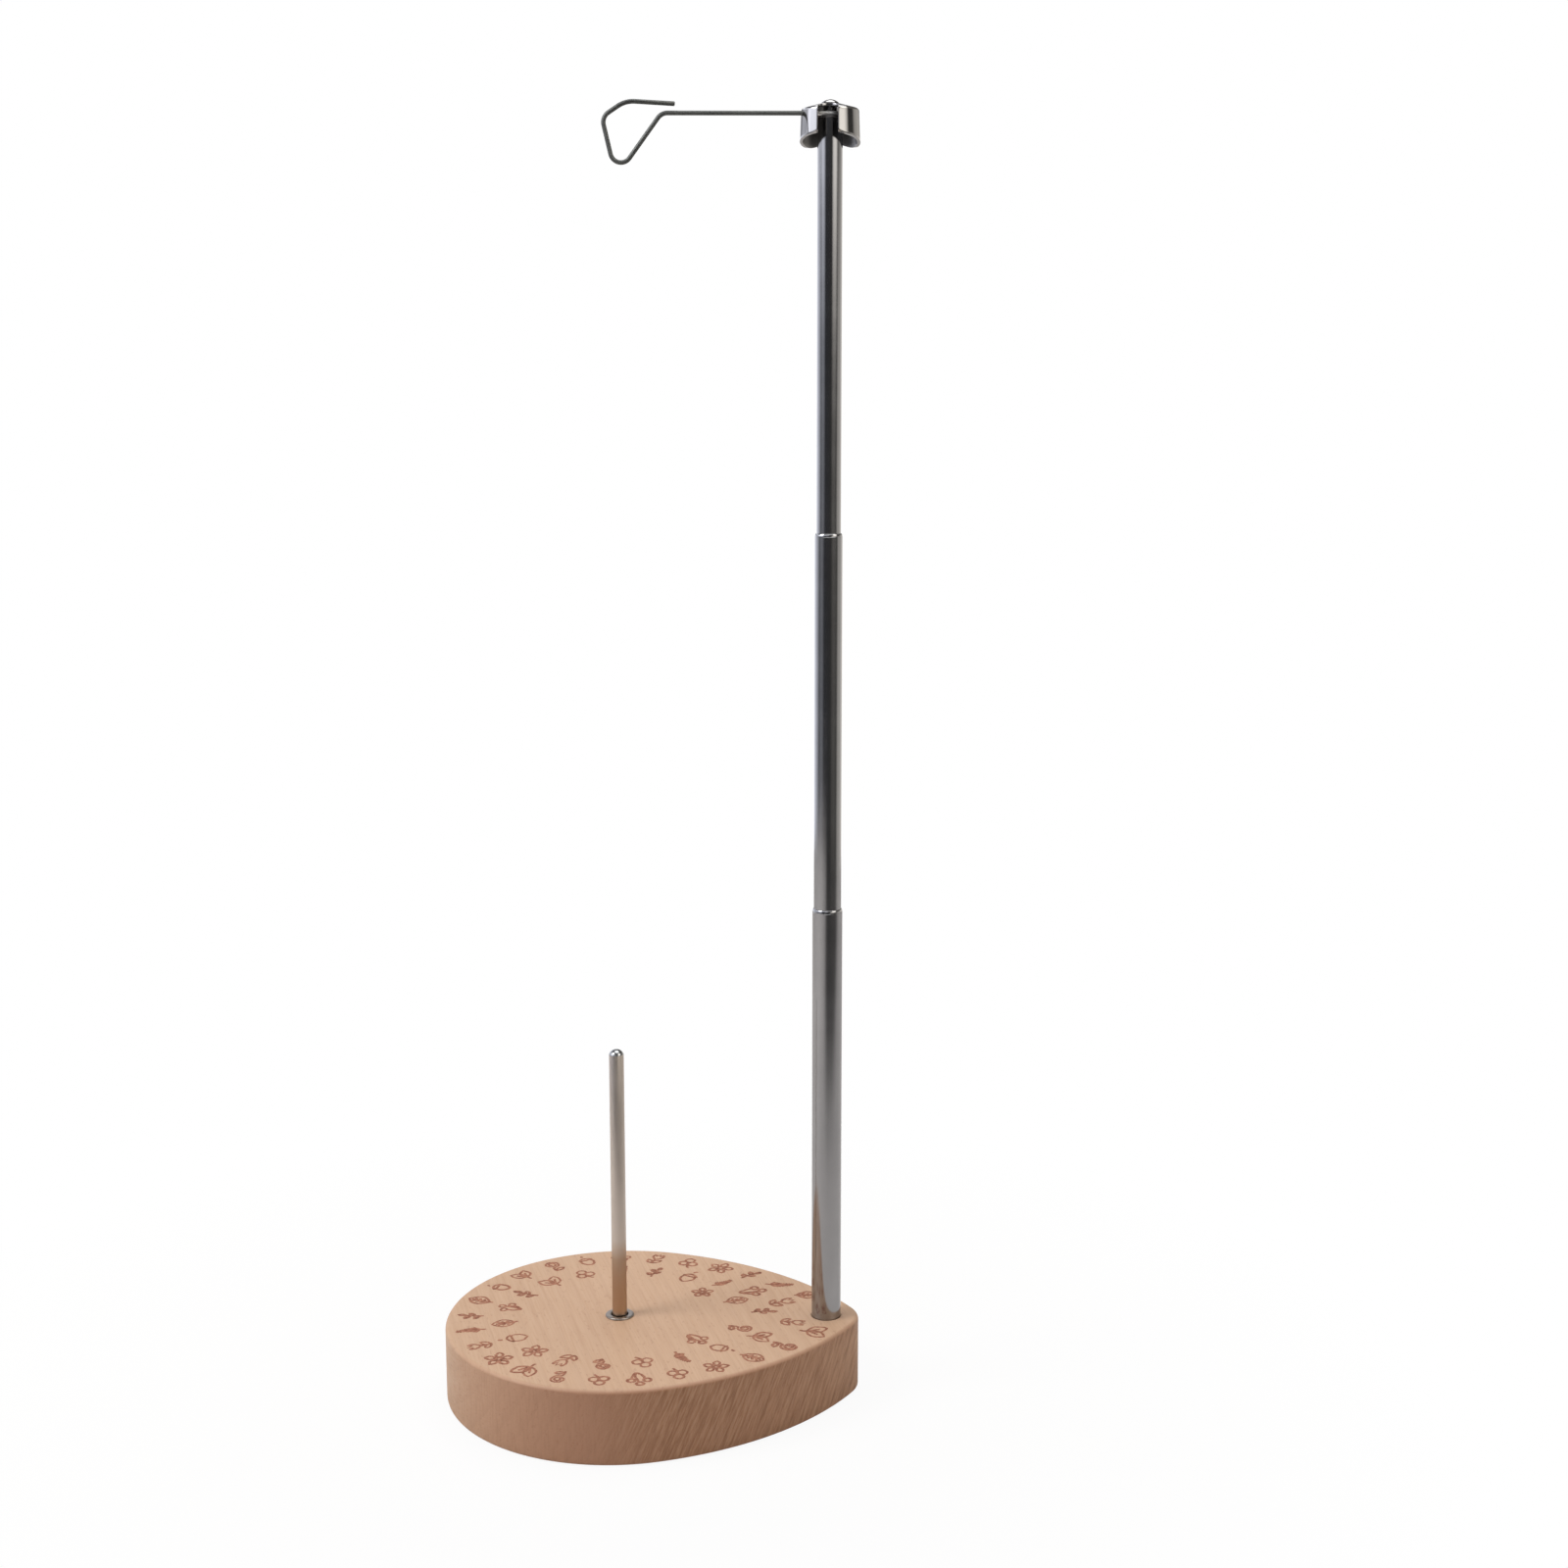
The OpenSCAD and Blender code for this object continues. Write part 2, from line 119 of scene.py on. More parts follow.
# Length, width and depth of the cross in the screw's head
SCREW_RECESS = (4.2 * MM, 1 * MM, 1.3 * MM)

# Heights and places on top of the mast
wire_z = bearing_hi.z + END_PLAY + WIRE_R
wire_y = -(RIVET_R + SLIDE_GAP + END_PLAY + WIRE_R)
ceiling_z = wire_z + WIRE_R + END_PLAY
cap_top = cap_hi.z - ROOF_RISE
# Lugs: reach of their lower ends, slope of their lower edges, and height of the whole skirt
lug_reach = CAP_R + LUG_FLARE
lug_slope = math.tan(math.radians(LUG_RAKE))
skirt_h = CAP_H + lug_reach * lug_slope


# Meshes

def finish_mesh(name, bm, sharp_angle=40):
    """Makes an object of a bmesh, smooth but for edges sharper than an angle in degrees."""
    bmesh.ops.recalc_face_normals(bm, faces=bm.faces)
    mesh = bpy.data.meshes.new(name)
    bm.to_mesh(mesh)
    bm.free()
    smooth_mesh(mesh, sharp_angle)
    piece = bpy.data.objects.new(name, mesh)
    bpy.context.scene.collection.objects.link(piece)
    return piece


def smooth_mesh(mesh, sharp_angle=40):
    """Shades a mesh smooth, but for its sharp edges."""
    mesh.polygons.foreach_set("use_smooth", [True] * len(mesh.polygons))
    mesh.set_sharp_from_angle(angle=math.radians(sharp_angle))


def bake(piece):
    """Replaces a piece's mesh by the one that its modifiers make of it."""
    shaped = piece.evaluated_get(bpy.context.evaluated_depsgraph_get())
    mesh = bpy.data.meshes.new_from_object(shaped)
    piece.modifiers.clear()
    piece.data = mesh
    smooth_mesh(mesh)


def soften(piece, width, segments=3, angle=35):
    """Rounds a piece's sharp edges."""
    bevel = piece.modifiers.new("soft_edges", "BEVEL")
    bevel.width = width
    bevel.segments = segments
    bevel.limit_method = "ANGLE"
    bevel.angle_limit = math.radians(angle)
    bake(piece)


def rounded(path, radii, steps=6):
    """Flat path with each corner rounded by its own radius."""
    points = []
    for i, (corner, radius) in enumerate(zip(path, radii)):
        here = Vector(corner)
        if radius == 0:
            points.append(here)
            continue
        before = (Vector(path[i - 1]) - here).normalized()
        after = (Vector(path[(i + 1) % len(path)]) - here).normalized()
        half = before.angle(after) / 2
        centre = here + (before + after).normalized() * radius / math.sin(half)
        start = here + before * radius / math.tan(half) - centre
        end = here + after * radius / math.tan(half) - centre
        sweep = start.angle_signed(end)
        points += [centre + Matrix.Rotation(-sweep * k / steps, 2) @ start for k in range(steps + 1)]
    return points


def circle(bm, centre, radius, height, segments):
    """Ring of points about an upright axis."""
    angles = [FULL_TURN * k / segments for k in range(segments)]
    return [
        bm.verts.new((centre[0] + radius * math.cos(a), centre[1] + radius * math.sin(a), height))
        for a in angles
    ]


def lathe(name, profile, centre=(0, 0, 0), segments=128):
    """Turned piece: a closed section of (radius, height) points turned about an upright axis."""
    bm = bmesh.new()
    rings = []
    for radius, height in profile:
        if radius == 0:
            rings.append([bm.verts.new((centre[0], centre[1], height))] * segments)
            continue
        rings.append(circle(bm, centre, radius, height, segments))
    for ring, after in zip(rings, rings[1:] + rings[:1]):
        for k in range(segments):
            n = (k + 1) % segments
            corners = list(dict.fromkeys([ring[k], ring[n], after[n], after[k]]))
            if len(corners) > 2:
                bm.faces.new(corners)
    return finish_mesh(name, bm)


def dome_section(radius, bottom, height, steps=12):
    """Points up a dome's side, from its rim to just before its top."""
    ball = (radius ** 2 + height ** 2) / (2 * height)
    low = bottom + height - ball
    first = math.asin((bottom - low) / ball)
    angles = [first + (math.pi / 2 - first) * k / steps for k in range(steps)]
    return [(ball * math.cos(a), low + ball * math.sin(a)) for a in angles]


# Softly broken end of a wire: steps along it and radii there, as shares of the wire's radius
WIRE_END = [(0.0, 0.55), (0.12, 0.85), (0.3, 1.0)]


def sweep_wire(name, path, radius, sides=28):
    """Round wire along a path."""
    tangents = []
    for i in range(len(path)):
        a, b = path[max(i - 1, 0)], path[min(i + 1, len(path) - 1)]
        tangents.append((b - a).normalized())
    first, last = tangents[0], tangents[-1]
    stations = [(path[0] + first * radius * step, first, radius * share) for step, share in WIRE_END]
    stations += [(p, t, radius) for p, t in zip(path[1:-1], tangents[1:-1])]
    stations += [(path[-1] - last * radius * step, last, radius * share) for step, share in WIRE_END[::-1]]
    bm = bmesh.new()
    side = tangents[0].orthogonal().normalized()
    rings = []
    for place, tangent, r in stations:
        side = (side - tangent * side.dot(tangent)).normalized()
        other = tangent.cross(side)
        rings.append([
            bm.verts.new(place + r * (math.cos(a) * side + math.sin(a) * other))
            for a in (FULL_TURN * k / sides for k in range(sides))
        ])
    for ring, after in zip(rings, rings[1:]):
        bridge(bm, ring, after)
    bm.faces.new(rings[0])
    bm.faces.new(rings[-1])
    return finish_mesh(name, bm)


def bridge(bm, ring, after):
    """Faces between two rings of as many points."""
    pairs = [(k, (k + 1) % len(ring)) for k in range(len(ring))]
    return [bm.faces.new([ring[k], ring[n], after[n], after[k]]) for k, n in pairs]


# Material nodes

class Nodes:
    """The node tree of a material or a world, with the shader that it starts with."""

    def __init__(self, owner):
        owner.use_nodes = True
        self.owner = owner
        self.tree = owner.node_tree
        self.shader = self.tree.nodes.get("Principled BSDF")

    def add(self, kind, **values):
        """A node with its properties, or its input sockets by name, set to values or linked."""
        made = self.tree.nodes.new("ShaderNode" + kind)
        for key, value in values.items():
            if hasattr(made, key):
                setattr(made, key, value)
            else:
                self.put(made.inputs[key.replace("_", " ")], value)
        return made

    def put(self, socket, value):
        """Links an output to a socket, or sets the socket's own value."""
        if isinstance(value, bpy.types.NodeSocket):
            self.tree.links.new(value, socket)
        else:
            socket.default_value = value

    def coords(self, kind="Object"):
        """Coordinates in the frame of the model, or the direction of a ray in a world."""
        return self.add("TexCoord").outputs[kind]

    def mapped(self, vector, scale=(1, 1, 1), rotation=(0, 0, 0)):
        return self.add("Mapping", Vector=vector, Scale=scale, Rotation=rotation).outputs["Vector"]

    def parts(self, vector):
        """The X, Y and Z of a vector."""
        return self.add("SeparateXYZ", Vector=vector).outputs

    def noise(self, vector, waves, detail=2.0, roughness=0.5):
        """Noise with a number of waves per metre, or with one along each axis."""
        if isinstance(waves, tuple):
            vector = self.mapped(vector, scale=waves)
            waves = 1.0
        made = self.add("TexNoise", Vector=vector, Scale=waves, Detail=detail, Roughness=roughness)
        return made.outputs["Fac"]

    def ramp(self, value, low, high, to_low=0.0, to_high=1.0):
        """Value between two limits, mapped to another range and held at its ends."""
        made = self.add("MapRange", Value=value, From_Min=low, From_Max=high, To_Min=to_low, To_Max=to_high)
        return made.outputs["Result"]

    def stops(self, value, stops, low, high):
        """Colour by a value between two limits, from a list of (value, colour) stops."""
        made = self.add("ValToRGB", Fac=self.ramp(value, low, high))
        elements = made.color_ramp.elements
        while len(elements) < len(stops):
            elements.new(0.5)
        for element, (place, tone) in zip(elements, stops):
            element.position = (place - low) / (high - low)
            element.color = tone
        return made.outputs["Color"]

    def math(self, operation, a, b=0.0):
        made = self.add("Math", operation=operation)
        self.put(made.inputs[0], a)
        self.put(made.inputs[1], b)
        return made.outputs[0]

    def vector_math(self, operation, *values):
        made = self.add("VectorMath", operation=operation)
        for socket, value in zip(made.inputs, values):
            self.put(socket, value)
        return made.outputs

    def dot(self, vector, direction):
        return self.vector_math("DOT_PRODUCT", vector, direction)["Value"]

    def distance(self, vector, place):
        return self.vector_math("DISTANCE", vector, place)["Value"]

    def mix(self, share, a, b):
        """Colour a mixed with colour b."""
        made = self.add("Mix", data_type="RGBA")
        for socket, value in ((made.inputs["Factor"], share), (made.inputs[6], a), (made.inputs[7], b)):
            self.put(socket, value)
        return made.outputs[2]

    def mix_shaders(self, share, a, b):
        made = self.add("MixShader", Fac=share)
        self.put(made.inputs[1], a)
        self.put(made.inputs[2], b)
        return made.outputs[0]

    def bump(self, height, strength, distance):
        made = self.add("Bump", Height=height, Strength=strength, Distance=distance)
        self.put(self.shader.inputs["Normal"], made.outputs["Normal"])

    def set(self, **values):
        """Sets the shader's sockets."""
        for key, value in values.items():
            self.put(self.shader.inputs[key.replace("_", " ")], value)
        return self.owner


def colour(red, green, blue):
    return (red, green, blue, 1.0)


def new_material(name):
    return Nodes(bpy.data.materials.new(name))


# Limits between which nearly all values of a noise lie
SPREAD = (0.3, 0.7)


# Directions across the growth rings and along the fibres of the block, and the rings' thickness and drift
RING_AXIS = Vector((0.88, 0.24, -0.41)).normalized()
FIBRE_AXIS = Vector((0, 0, 1)).cross(RING_AXIS).normalized()
RING_STEP = 4.6 * MM
RING_DRIFT = 3 * MM
# Waves of the grain per metre: across the rings, along the fibres and across both, but upright for the pores
DRIFT_WAVES = (30, 9, 30)
FIBRE_WAVES = (1700, 55, 1700)
STREAK_WAVES = (1250, 22, 110)
FLECK_WAVES = (1500, 420, 700)
PORE_WAVES = (1400, 1400, 130)
CLOUD_WAVES = 28
SCORCH_WAVES = 700
# Colours of the wood
BEECH_DEEP = colour(0.512, 0.328, 0.209)
BEECH_PALE = colour(0.548, 0.356, 0.231)
FIBRE_TONE = colour(0.43, 0.25, 0.15)
FLECK_TONE = colour(0.36, 0.2, 0.12)
END_GRAIN_TONE = colour(0.295, 0.1, 0.043)
TIP_SIDE_TONE = colour(0.3, 0.13, 0.02)
LATE_WOOD_TONE = colour(0.25, 0.12, 0.065)
STREAK_DARK = colour(0.2, 0.088, 0.036)
STREAK_LIGHT = colour(0.61, 0.385, 0.235)
SCORCH_DARK = colour(0.2, 0.066, 0.04)
SCORCH_PALE = colour(0.42, 0.205, 0.13)


def beech():
    """Oiled beech: growth rings, long fibres, ray flecks, and darker, streaky end grain."""
    n = new_material("beech_wood")
    turn = Matrix((RING_AXIS, FIBRE_AXIS, RING_AXIS.cross(FIBRE_AXIS))).to_euler()
    board = n.mapped(n.coords(), rotation=turn)
    drift = n.ramp(n.noise(board, DRIFT_WAVES), 0, 1, -RING_DRIFT, RING_DRIFT)
    ring = n.math("FRACT", n.math("DIVIDE", n.math("ADD", n.parts(board)["X"], drift), RING_STEP))
    late_wood = n.math("POWER", ring, 3.0)
    fibres = n.noise(board, FIBRE_WAVES, 3.0, 0.6)
    streaks = n.noise(board, STREAK_WAVES, 4.0, 0.65)
    pores = n.noise(n.coords(), PORE_WAVES, 3.0, 0.65)
    flecks = n.noise(board, FLECK_WAVES, 1.0)
    clouds = n.noise(n.coords(), CLOUD_WAVES)
    # Where the surface cuts the fibres, where it is upright, and where it is upright and faces the tip
    normal = n.add("NewGeometry").outputs["Normal"]
    facing = n.parts(normal)
    end_grain = n.math("ABSOLUTE", n.dot(normal, FIBRE_AXIS))
    upright = n.ramp(n.math("ABSOLUTE", facing["Z"]), 0.6, 0.2)
    tip_side = n.math("MULTIPLY", upright, n.ramp(facing["X"], -0.1, 0.3))
    # Each layer has the share in which it covers those before it
    layers = [
        (n.ramp(fibres, 0.4, 0.75, 0.0, 0.27), FIBRE_TONE),
        (n.ramp(flecks, 0.64, 0.72, 0.0, 0.36), FLECK_TONE),
        (n.math("MULTIPLY", end_grain, 0.59), END_GRAIN_TONE),
        (n.math("MULTIPLY", tip_side, 0.22), TIP_SIDE_TONE),
        (n.math("MULTIPLY", late_wood, 0.1), LATE_WOOD_TONE),
        (n.math("MULTIPLY", upright, n.ramp(pores, 0.45, 0.75, 0.0, 0.28)), LATE_WOOD_TONE),
        (n.math("MULTIPLY", tip_side, n.ramp(streaks, 0.5, 0.68, 0.0, 0.66)), STREAK_DARK),
        (n.math("MULTIPLY", tip_side, n.ramp(streaks, 0.5, 0.3, 0.0, 0.4)), STREAK_LIGHT),
    ]
    tone = n.mix(n.ramp(clouds, *SPREAD), BEECH_DEEP, BEECH_PALE)
    for share, layer_tone in layers:
        tone = n.mix(share, tone, layer_tone)
    n.bump(n.math("ADD", fibres, n.math("MULTIPLY", flecks, 0.6)), 0.12, 0.2 * MM)
    return n.set(Base_Color=tone, Roughness=n.ramp(fibres, *SPREAD, 0.46, 0.6), Specular_IOR_Level=0.5)


def scorched_wood():
    """Burnt lines of the engraving, paler where the burning was light."""
    n = new_material("scorched_wood")
    patches = n.noise(n.coords(), SCORCH_WAVES, 3.0, 0.65)
    tone = n.mix(n.ramp(patches, 0.34, 0.66), SCORCH_DARK, SCORCH_PALE)
    n.bump(patches, 0.3, 0.1 * MM)
    return n.set(Base_Color=tone, Roughness=n.ramp(patches, *SPREAD, 0.7, 0.9), Specular_IOR_Level=0.2)


# Painted reflection of the wood on the pin's foot: heights above the base at which it ends and is full, its
# share and its colour
FOOT_REFLECTION_END = 25 * MM
FOOT_REFLECTION_FULL = 19 * MM
FOOT_REFLECTION_SHARE = 0.62
FOOT_REFLECTION_TONE = colour(0.42, 0.25, 0.125)
# Painted highlight: bright colour on the wire under the cap
EYE_HIGHLIGHT_TONE = colour(0.85, 0.85, 0.83)


def painted_foot_reflection(n):
    """Share and colour of the painted reflection of the wood on the pin's foot."""
    height = n.parts(n.coords())["Z"]
    return n.ramp(height, base_top + FOOT_REFLECTION_END, base_top + FOOT_REFLECTION_FULL, 0.0, FOOT_REFLECTION_SHARE), FOOT_REFLECTION_TONE


def painted_eye_highlight(n):
    """Share and colour of the painted highlight on the wire round the rivet."""
    away = n.distance(n.coords(), (mast.x, mast.y, wire_z))
    return n.ramp(away, CAP_R, CAP_R - CAP_WALL), EYE_HIGHLIGHT_TONE


BRASS_BRIGHT = colour(0.78, 0.58, 0.27)
BRASS_TARNISHED = colour(0.55, 0.37, 0.15)
# Marks on the metals, in waves per metre along each axis
DRAWN_MARKS = (5200, 5200, 26)
WIRE_MARKS = (60, 1500, 1500)
PRESSED_MARKS = (160, 160, 160)
PLATED_MARKS = (300, 300, 300)
TURNED_MARKS = (40, 40, 4200)
SMUDGE_WAVES = 60
TARNISH_WAVES = 180
# Depth of a metal's marks where their bump is full
MARK_DEPTH = 0.05 * MM


def drawn_steel(name, dark, light, roughness, marks, bump, drawn=0.0, edge=1.0, painted_light=None):
    """Bare or plated steel with fine marks and faint smudges.

    It may be drawn along an upright axis, and carry painted light: a reflection or highlight painted in
    another colour over part of it."""
    n = new_material(name)
    lines = n.noise(n.coords(), marks, 2.0, 0.6)
    smudges = n.noise(n.coords(), SMUDGE_WAVES, 3.0, 0.6)
    tone = n.mix(n.ramp(smudges, *SPREAD), colour(*dark), colour(*light))
    rough = n.math("ADD", n.ramp(smudges, *SPREAD, 0.8 * roughness, 1.25 * roughness),
                   n.ramp(lines, *SPREAD, 0.0, 0.3 * roughness))
    n.bump(lines, bump, MARK_DEPTH)
    # Painted light: a reflection or highlight painted over part of the steel
    if painted_light:
        painted_share, painted_tone = painted_light(n)
        tone = n.mix(painted_share, tone, painted_tone)
    if drawn:
        round_axis = n.add("Tangent", direction_type="RADIAL", axis="Z")
        n.set(Anisotropic=drawn, Tangent=round_axis.outputs["Tangent"])
    return n.set(Base_Color=tone, Metallic=1.0, Roughness=rough, Specular_Tint=colour(edge, edge, edge))


def brass():
    """Turned brass with rings round the axis and a little tarnish."""
    n = new_material("turned_brass")
    rings = n.noise(n.coords(), TURNED_MARKS)
    tarnish = n.noise(n.coords(), TARNISH_WAVES, 3.0, 0.6)
    tone = n.mix(n.ramp(tarnish, 0.35, 0.7), BRASS_BRIGHT, BRASS_TARNISHED)
    n.bump(rings, 0.15, MARK_DEPTH)
    return n.set(Base_Color=tone, Metallic=1.0, Roughness=n.ramp(tarnish, *SPREAD, 0.24, 0.42))


# Finishes of the record's slots
MATERIALS = {
    "beech": beech(),
    "tube_steel": drawn_steel("tube_steel", (0.3, 0.3, 0.306), (0.345, 0.345, 0.35), 0.12, DRAWN_MARKS, 0.05),
    # The pin's foot carries a painted reflection of the wood
    "pin_steel": drawn_steel("pin_steel", (0.6, 0.53, 0.47), (0.67, 0.595, 0.53), 0.37, DRAWN_MARKS, 0.12,
                             drawn=0.8, painted_light=painted_foot_reflection),
    "cap_steel": drawn_steel("cap_steel", (0.32, 0.315, 0.31), (0.37, 0.365, 0.36), 0.1, PRESSED_MARKS, 0.04),
    # The wire carries a painted highlight under the cap
    "wire_steel": drawn_steel("wire_steel", (0.11, 0.114, 0.11), (0.17, 0.175, 0.167), 0.48, WIRE_MARKS, 0.02,
                              edge=0.2, painted_light=painted_eye_highlight),
    "fastener_steel": drawn_steel("fastener_steel", (0.3, 0.305, 0.31), (0.37, 0.375, 0.38), 0.22,
                                  PLATED_MARKS, 0.1),
    "brass": brass(),
}
# Other finishes of single pieces
SCORCHED = scorched_wood()
DULL_STEEL = drawn_steel("dull_steel", (0.27, 0.24, 0.215), (0.34, 0.305, 0.275), 0.3, PLATED_MARKS, 0.1)
# Darker steel that paints the shade inside the cap, on its inner faces and on the bearing washer
PAINTED_SHADE_STEEL = drawn_steel("painted_shade_steel", (0.16, 0.155, 0.155), (0.22, 0.215, 0.21), 0.3, PLATED_MARKS, 0.1)


def dress(piece, body, slot, replaced=(), material=None):
    """Gives a new piece its body, its finish and the nodes that it stands for."""
    piece.data.materials.append(material or MATERIALS[slot])
    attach(piece, body)
    for node in replaced:
        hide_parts(node)
    return piece


# Base block

def arc_points(centre, radius, start, end, count):
    """Points along an arc, without its last one."""
    return [
        Vector((centre[0] + radius * math.cos(a), centre[1] + radius * math.sin(a)))
        for a in (start + (end - start) * k / count for k in range(count))
    ]


# Centres of the tip's curve and of the long curves
TIP_X = base_hi.x - TIP_R
SIDE_X = ((SIDE_R - base_r) ** 2 - (SIDE_R - TIP_R) ** 2 + TIP_X ** 2) / (2 * TIP_X)
SIDE_Y = math.sqrt((SIDE_R - base_r) ** 2 - SIDE_X ** 2)
# Directions in which the long curves meet the round end and the tip
BASE_MEET = math.atan2(SIDE_Y, -SIDE_X)
TIP_MEET = math.atan2(SIDE_Y, TIP_X - SIDE_X)
RING_SEGMENTS = 96


def egg_outline(inset, count=60):
    """Outline of the base, anticlockwise from the tip, drawn in by an inset."""
    tip = arc_points((TIP_X, 0), TIP_R - inset, -TIP_MEET, TIP_MEET, count)
    back = arc_points((SIDE_X, -SIDE_Y), SIDE_R - inset, TIP_MEET, BASE_MEET, count)
    end = arc_points((0, 0), base_r - inset, BASE_MEET, FULL_TURN - BASE_MEET, 2 * count)
    front = arc_points((SIDE_X, SIDE_Y), SIDE_R - inset, FULL_TURN - BASE_MEET, FULL_TURN - TIP_MEET, count)
    return tip + back + end + front


def fill_flat(bm, rings):
    """Fills the flat face between an outer ring and the holes in it."""
    edges = []
    for ring in rings:
        edges += [bm.edges.get((ring[k], ring[(k + 1) % len(ring)])) for k in range(len(ring))]
    bmesh.ops.triangle_fill(bm, use_beauty=True, use_dissolve=False, edges=edges)


def hole_wall(bm, centre, section):
    """Wall of a hole, from its mouth on, as (radius, height) steps. Gives its first and last rings."""
    rings = [circle(bm, centre, radius, height, RING_SEGMENTS) for radius, height in section]
    for ring, after in zip(rings, rings[1:]):
        bridge(bm, ring, after)
    return rings[0], rings[-1]


def make_base():
    """Block with rounded edges, the insert's hole, and the mast's socket, screw hole and counterbore."""
    bm = bmesh.new()
    steps = 8
    # Flat rim inside the rounded edges, and chamfer of the holes' mouths
    land = 0.4 * MM
    mouth = 0.25 * MM
    section = [(BASE_EDGE + land, 0.0)]
    for k in range(steps + 1):
        a = math.pi / 2 * k / steps
        section.append((BASE_EDGE * (1 - math.sin(a)), BASE_EDGE * (1 - math.cos(a))))
    section += [(inset, base_top - height) for inset, height in reversed(section)]
    rings = [[bm.verts.new((p.x, p.y, height)) for p in egg_outline(inset)] for inset, height in section]
    for ring, after in zip(rings, rings[1:]):
        bridge(bm, ring, after)
    insert_r = INSERT_R + SEAT_GAP
    socket_r = lower_r + SEAT_GAP
    insert_mouth, insert_floor = hole_wall(bm, Vector((0, 0, 0)), [
        (insert_r + mouth, base_top), (insert_r, base_top - mouth), (insert_r, base_top - INSERT_HOLE_H),
    ])
    bm.faces.new(insert_floor)
    socket_mouth, counterbore_mouth = hole_wall(bm, mast, [
        (socket_r + mouth, base_top), (socket_r, base_top - mouth), (socket_r, base_top - SOCKET_H),
        (SCREW_HOLE_R, base_top - SOCKET_H), (SCREW_HOLE_R, COUNTERBORE_H), (COUNTERBORE_R, COUNTERBORE_H),
        (COUNTERBORE_R, mouth), (COUNTERBORE_R + mouth, 0.0),
    ])
    fill_flat(bm, [rings[-1], insert_mouth, socket_mouth])
    fill_flat(bm, [rings[0], counterbore_mouth])
    dress(finish_mesh("base_wood", bm), "base", "beech", ["base_block"])


# Engraving: plain plant drawings, each a list of strokes in a square from -1 to 1 that points up

def bow(start, end, bulge, count=8):
    """Line from start to end that bows out to its left by a share of its length."""
    a, b = Vector(start), Vector(end)
    side = Vector((a.y - b.y, b.x - a.x)) * bulge * 4
    return [a.lerp(b, k / count) + side * (k / count) * (1 - k / count) for k in range(count + 1)]


def loop(centre, radius, start=90, turn=360, count=14):
    angles = [math.radians(start + turn * k / count) for k in range(count + 1)]
    return [Vector((centre[0] + radius * math.cos(a), centre[1] + radius * math.sin(a))) for a in angles]


def polar(radius, angle):
    return Vector((radius * math.cos(math.radians(angle)), radius * math.sin(math.radians(angle))))


def leaf(start, end, fatness=0.24):
    """Closed leaf outline."""
    return bow(start, end, fatness) + bow(end, start, fatness)[1:]


def sprig():
    stem = bow((-0.15, -1), (0.1, 0.45), 0.06)
    sides = [leaf(stem[k], stem[k] + polar(0.6, 90 + side * 52)) for k, side in ((2, 1), (4, -1), (6, 1))]
    return [stem, leaf(stem[-1], (0.2, 1))] + sides


def blossom():
    petals = [leaf(polar(0.24, a), polar(0.95, a), 0.34) for a in range(18, 378, 72)]
    return [loop((0, 0), 0.2)] + petals


def broad_leaf():
    veins = [bow((0, y), (side * 0.34, y + 0.3), 0, 3) for y in (-0.4, -0.05, 0.3) for side in (-1, 1)]
    return [leaf((0, -0.75), (0, 1), 0.36), bow((0.06, -1), (0, 0.75), 0.02)] + veins


def berries():
    fruit = [(-0.5, 0.25), (0.05, 0.7), (0.55, 0.1)]
    stems = [bow((0, -1), (x * 0.8, y - 0.24), 0.1 * (1 if x < 0 else -1)) for x, y in fruit]
    return [loop(place, 0.25) for place in fruit] + stems


def bud():
    cup = bow((-0.36, 0.95), (0, -0.05), -0.22) + bow((0, -0.05), (0.36, 0.95), -0.22)[1:]
    crown = [Vector(p) for p in ((-0.36, 0.95), (-0.17, 0.6), (0, 1), (0.17, 0.6), (0.36, 0.95))]
    leaves = [leaf((0, -0.9), (0.6, -0.15)), leaf((0, -0.9), (-0.55, -0.3))]
    return [cup, crown, bow((0, -0.05), (0, -1), 0)] + leaves


def clover():
    leaves = [loop(polar(0.42, a), 0.36, a + 180) for a in (90, 210, 330)]
    return leaves + [bow((0, 0), (0.25, -1), -0.12)]


def fern():
    stem = bow((-0.2, -1), (0.2, 1), -0.08, 10)
    fronds = [
        bow(stem[k], stem[k] + polar(0.62 - 0.05 * k, 85 + side * 48), 0.08 * side, 4)
        for k in range(2, 10) for side in (-1, 1)
    ]
    return [stem] + fronds


def twin_leaves():
    fork = (0, -0.5)
    leaves = [leaf(fork, (side * 0.7, 0.75), 0.3) for side in (-1, 1)]
    veins = [bow(fork, (side * 0.45, 0.3), 0) for side in (-1, 1)]
    return leaves + [bow(fork, (0, -1), 0.05)] + veins


def tendril():
    coil = [Vector((0, 0.35)) + polar(0.6 - 0.06 * k / 4, 270 + 22 * k) for k in range(34)]
    return [bow((0.1, -1), coil[0], 0.1) + coil[1:], leaf((0.05, -0.75), (0.7, -0.45))]


def acorn():
    nut = bow((-0.42, 0.1), (0, -0.95), -0.24) + bow((0, -0.95), (0.42, 0.1), -0.24)[1:]
    cup = bow((-0.55, 0.1), (0.55, 0.1), -0.04) + bow((0.55, 0.1), (-0.55, 0.1), -0.3)[1:]
    return [nut, cup, bow((0, 0.72), (0.1, 1), 0.1, 4)]


MOTIFS = [sprig, blossom, broad_leaf, berries, bud, clover, fern, twin_leaves, tendril, acorn]
MOTIF_HALF = 4.3 * MM
# Rows of drawings, each by its distance in from the outline and the step along it
MOTIF_ROWS = [(7.4 * MM, 11.6 * MM), (18.2 * MM, 11.8 * MM), (28.8 * MM, 11.6 * MM)]
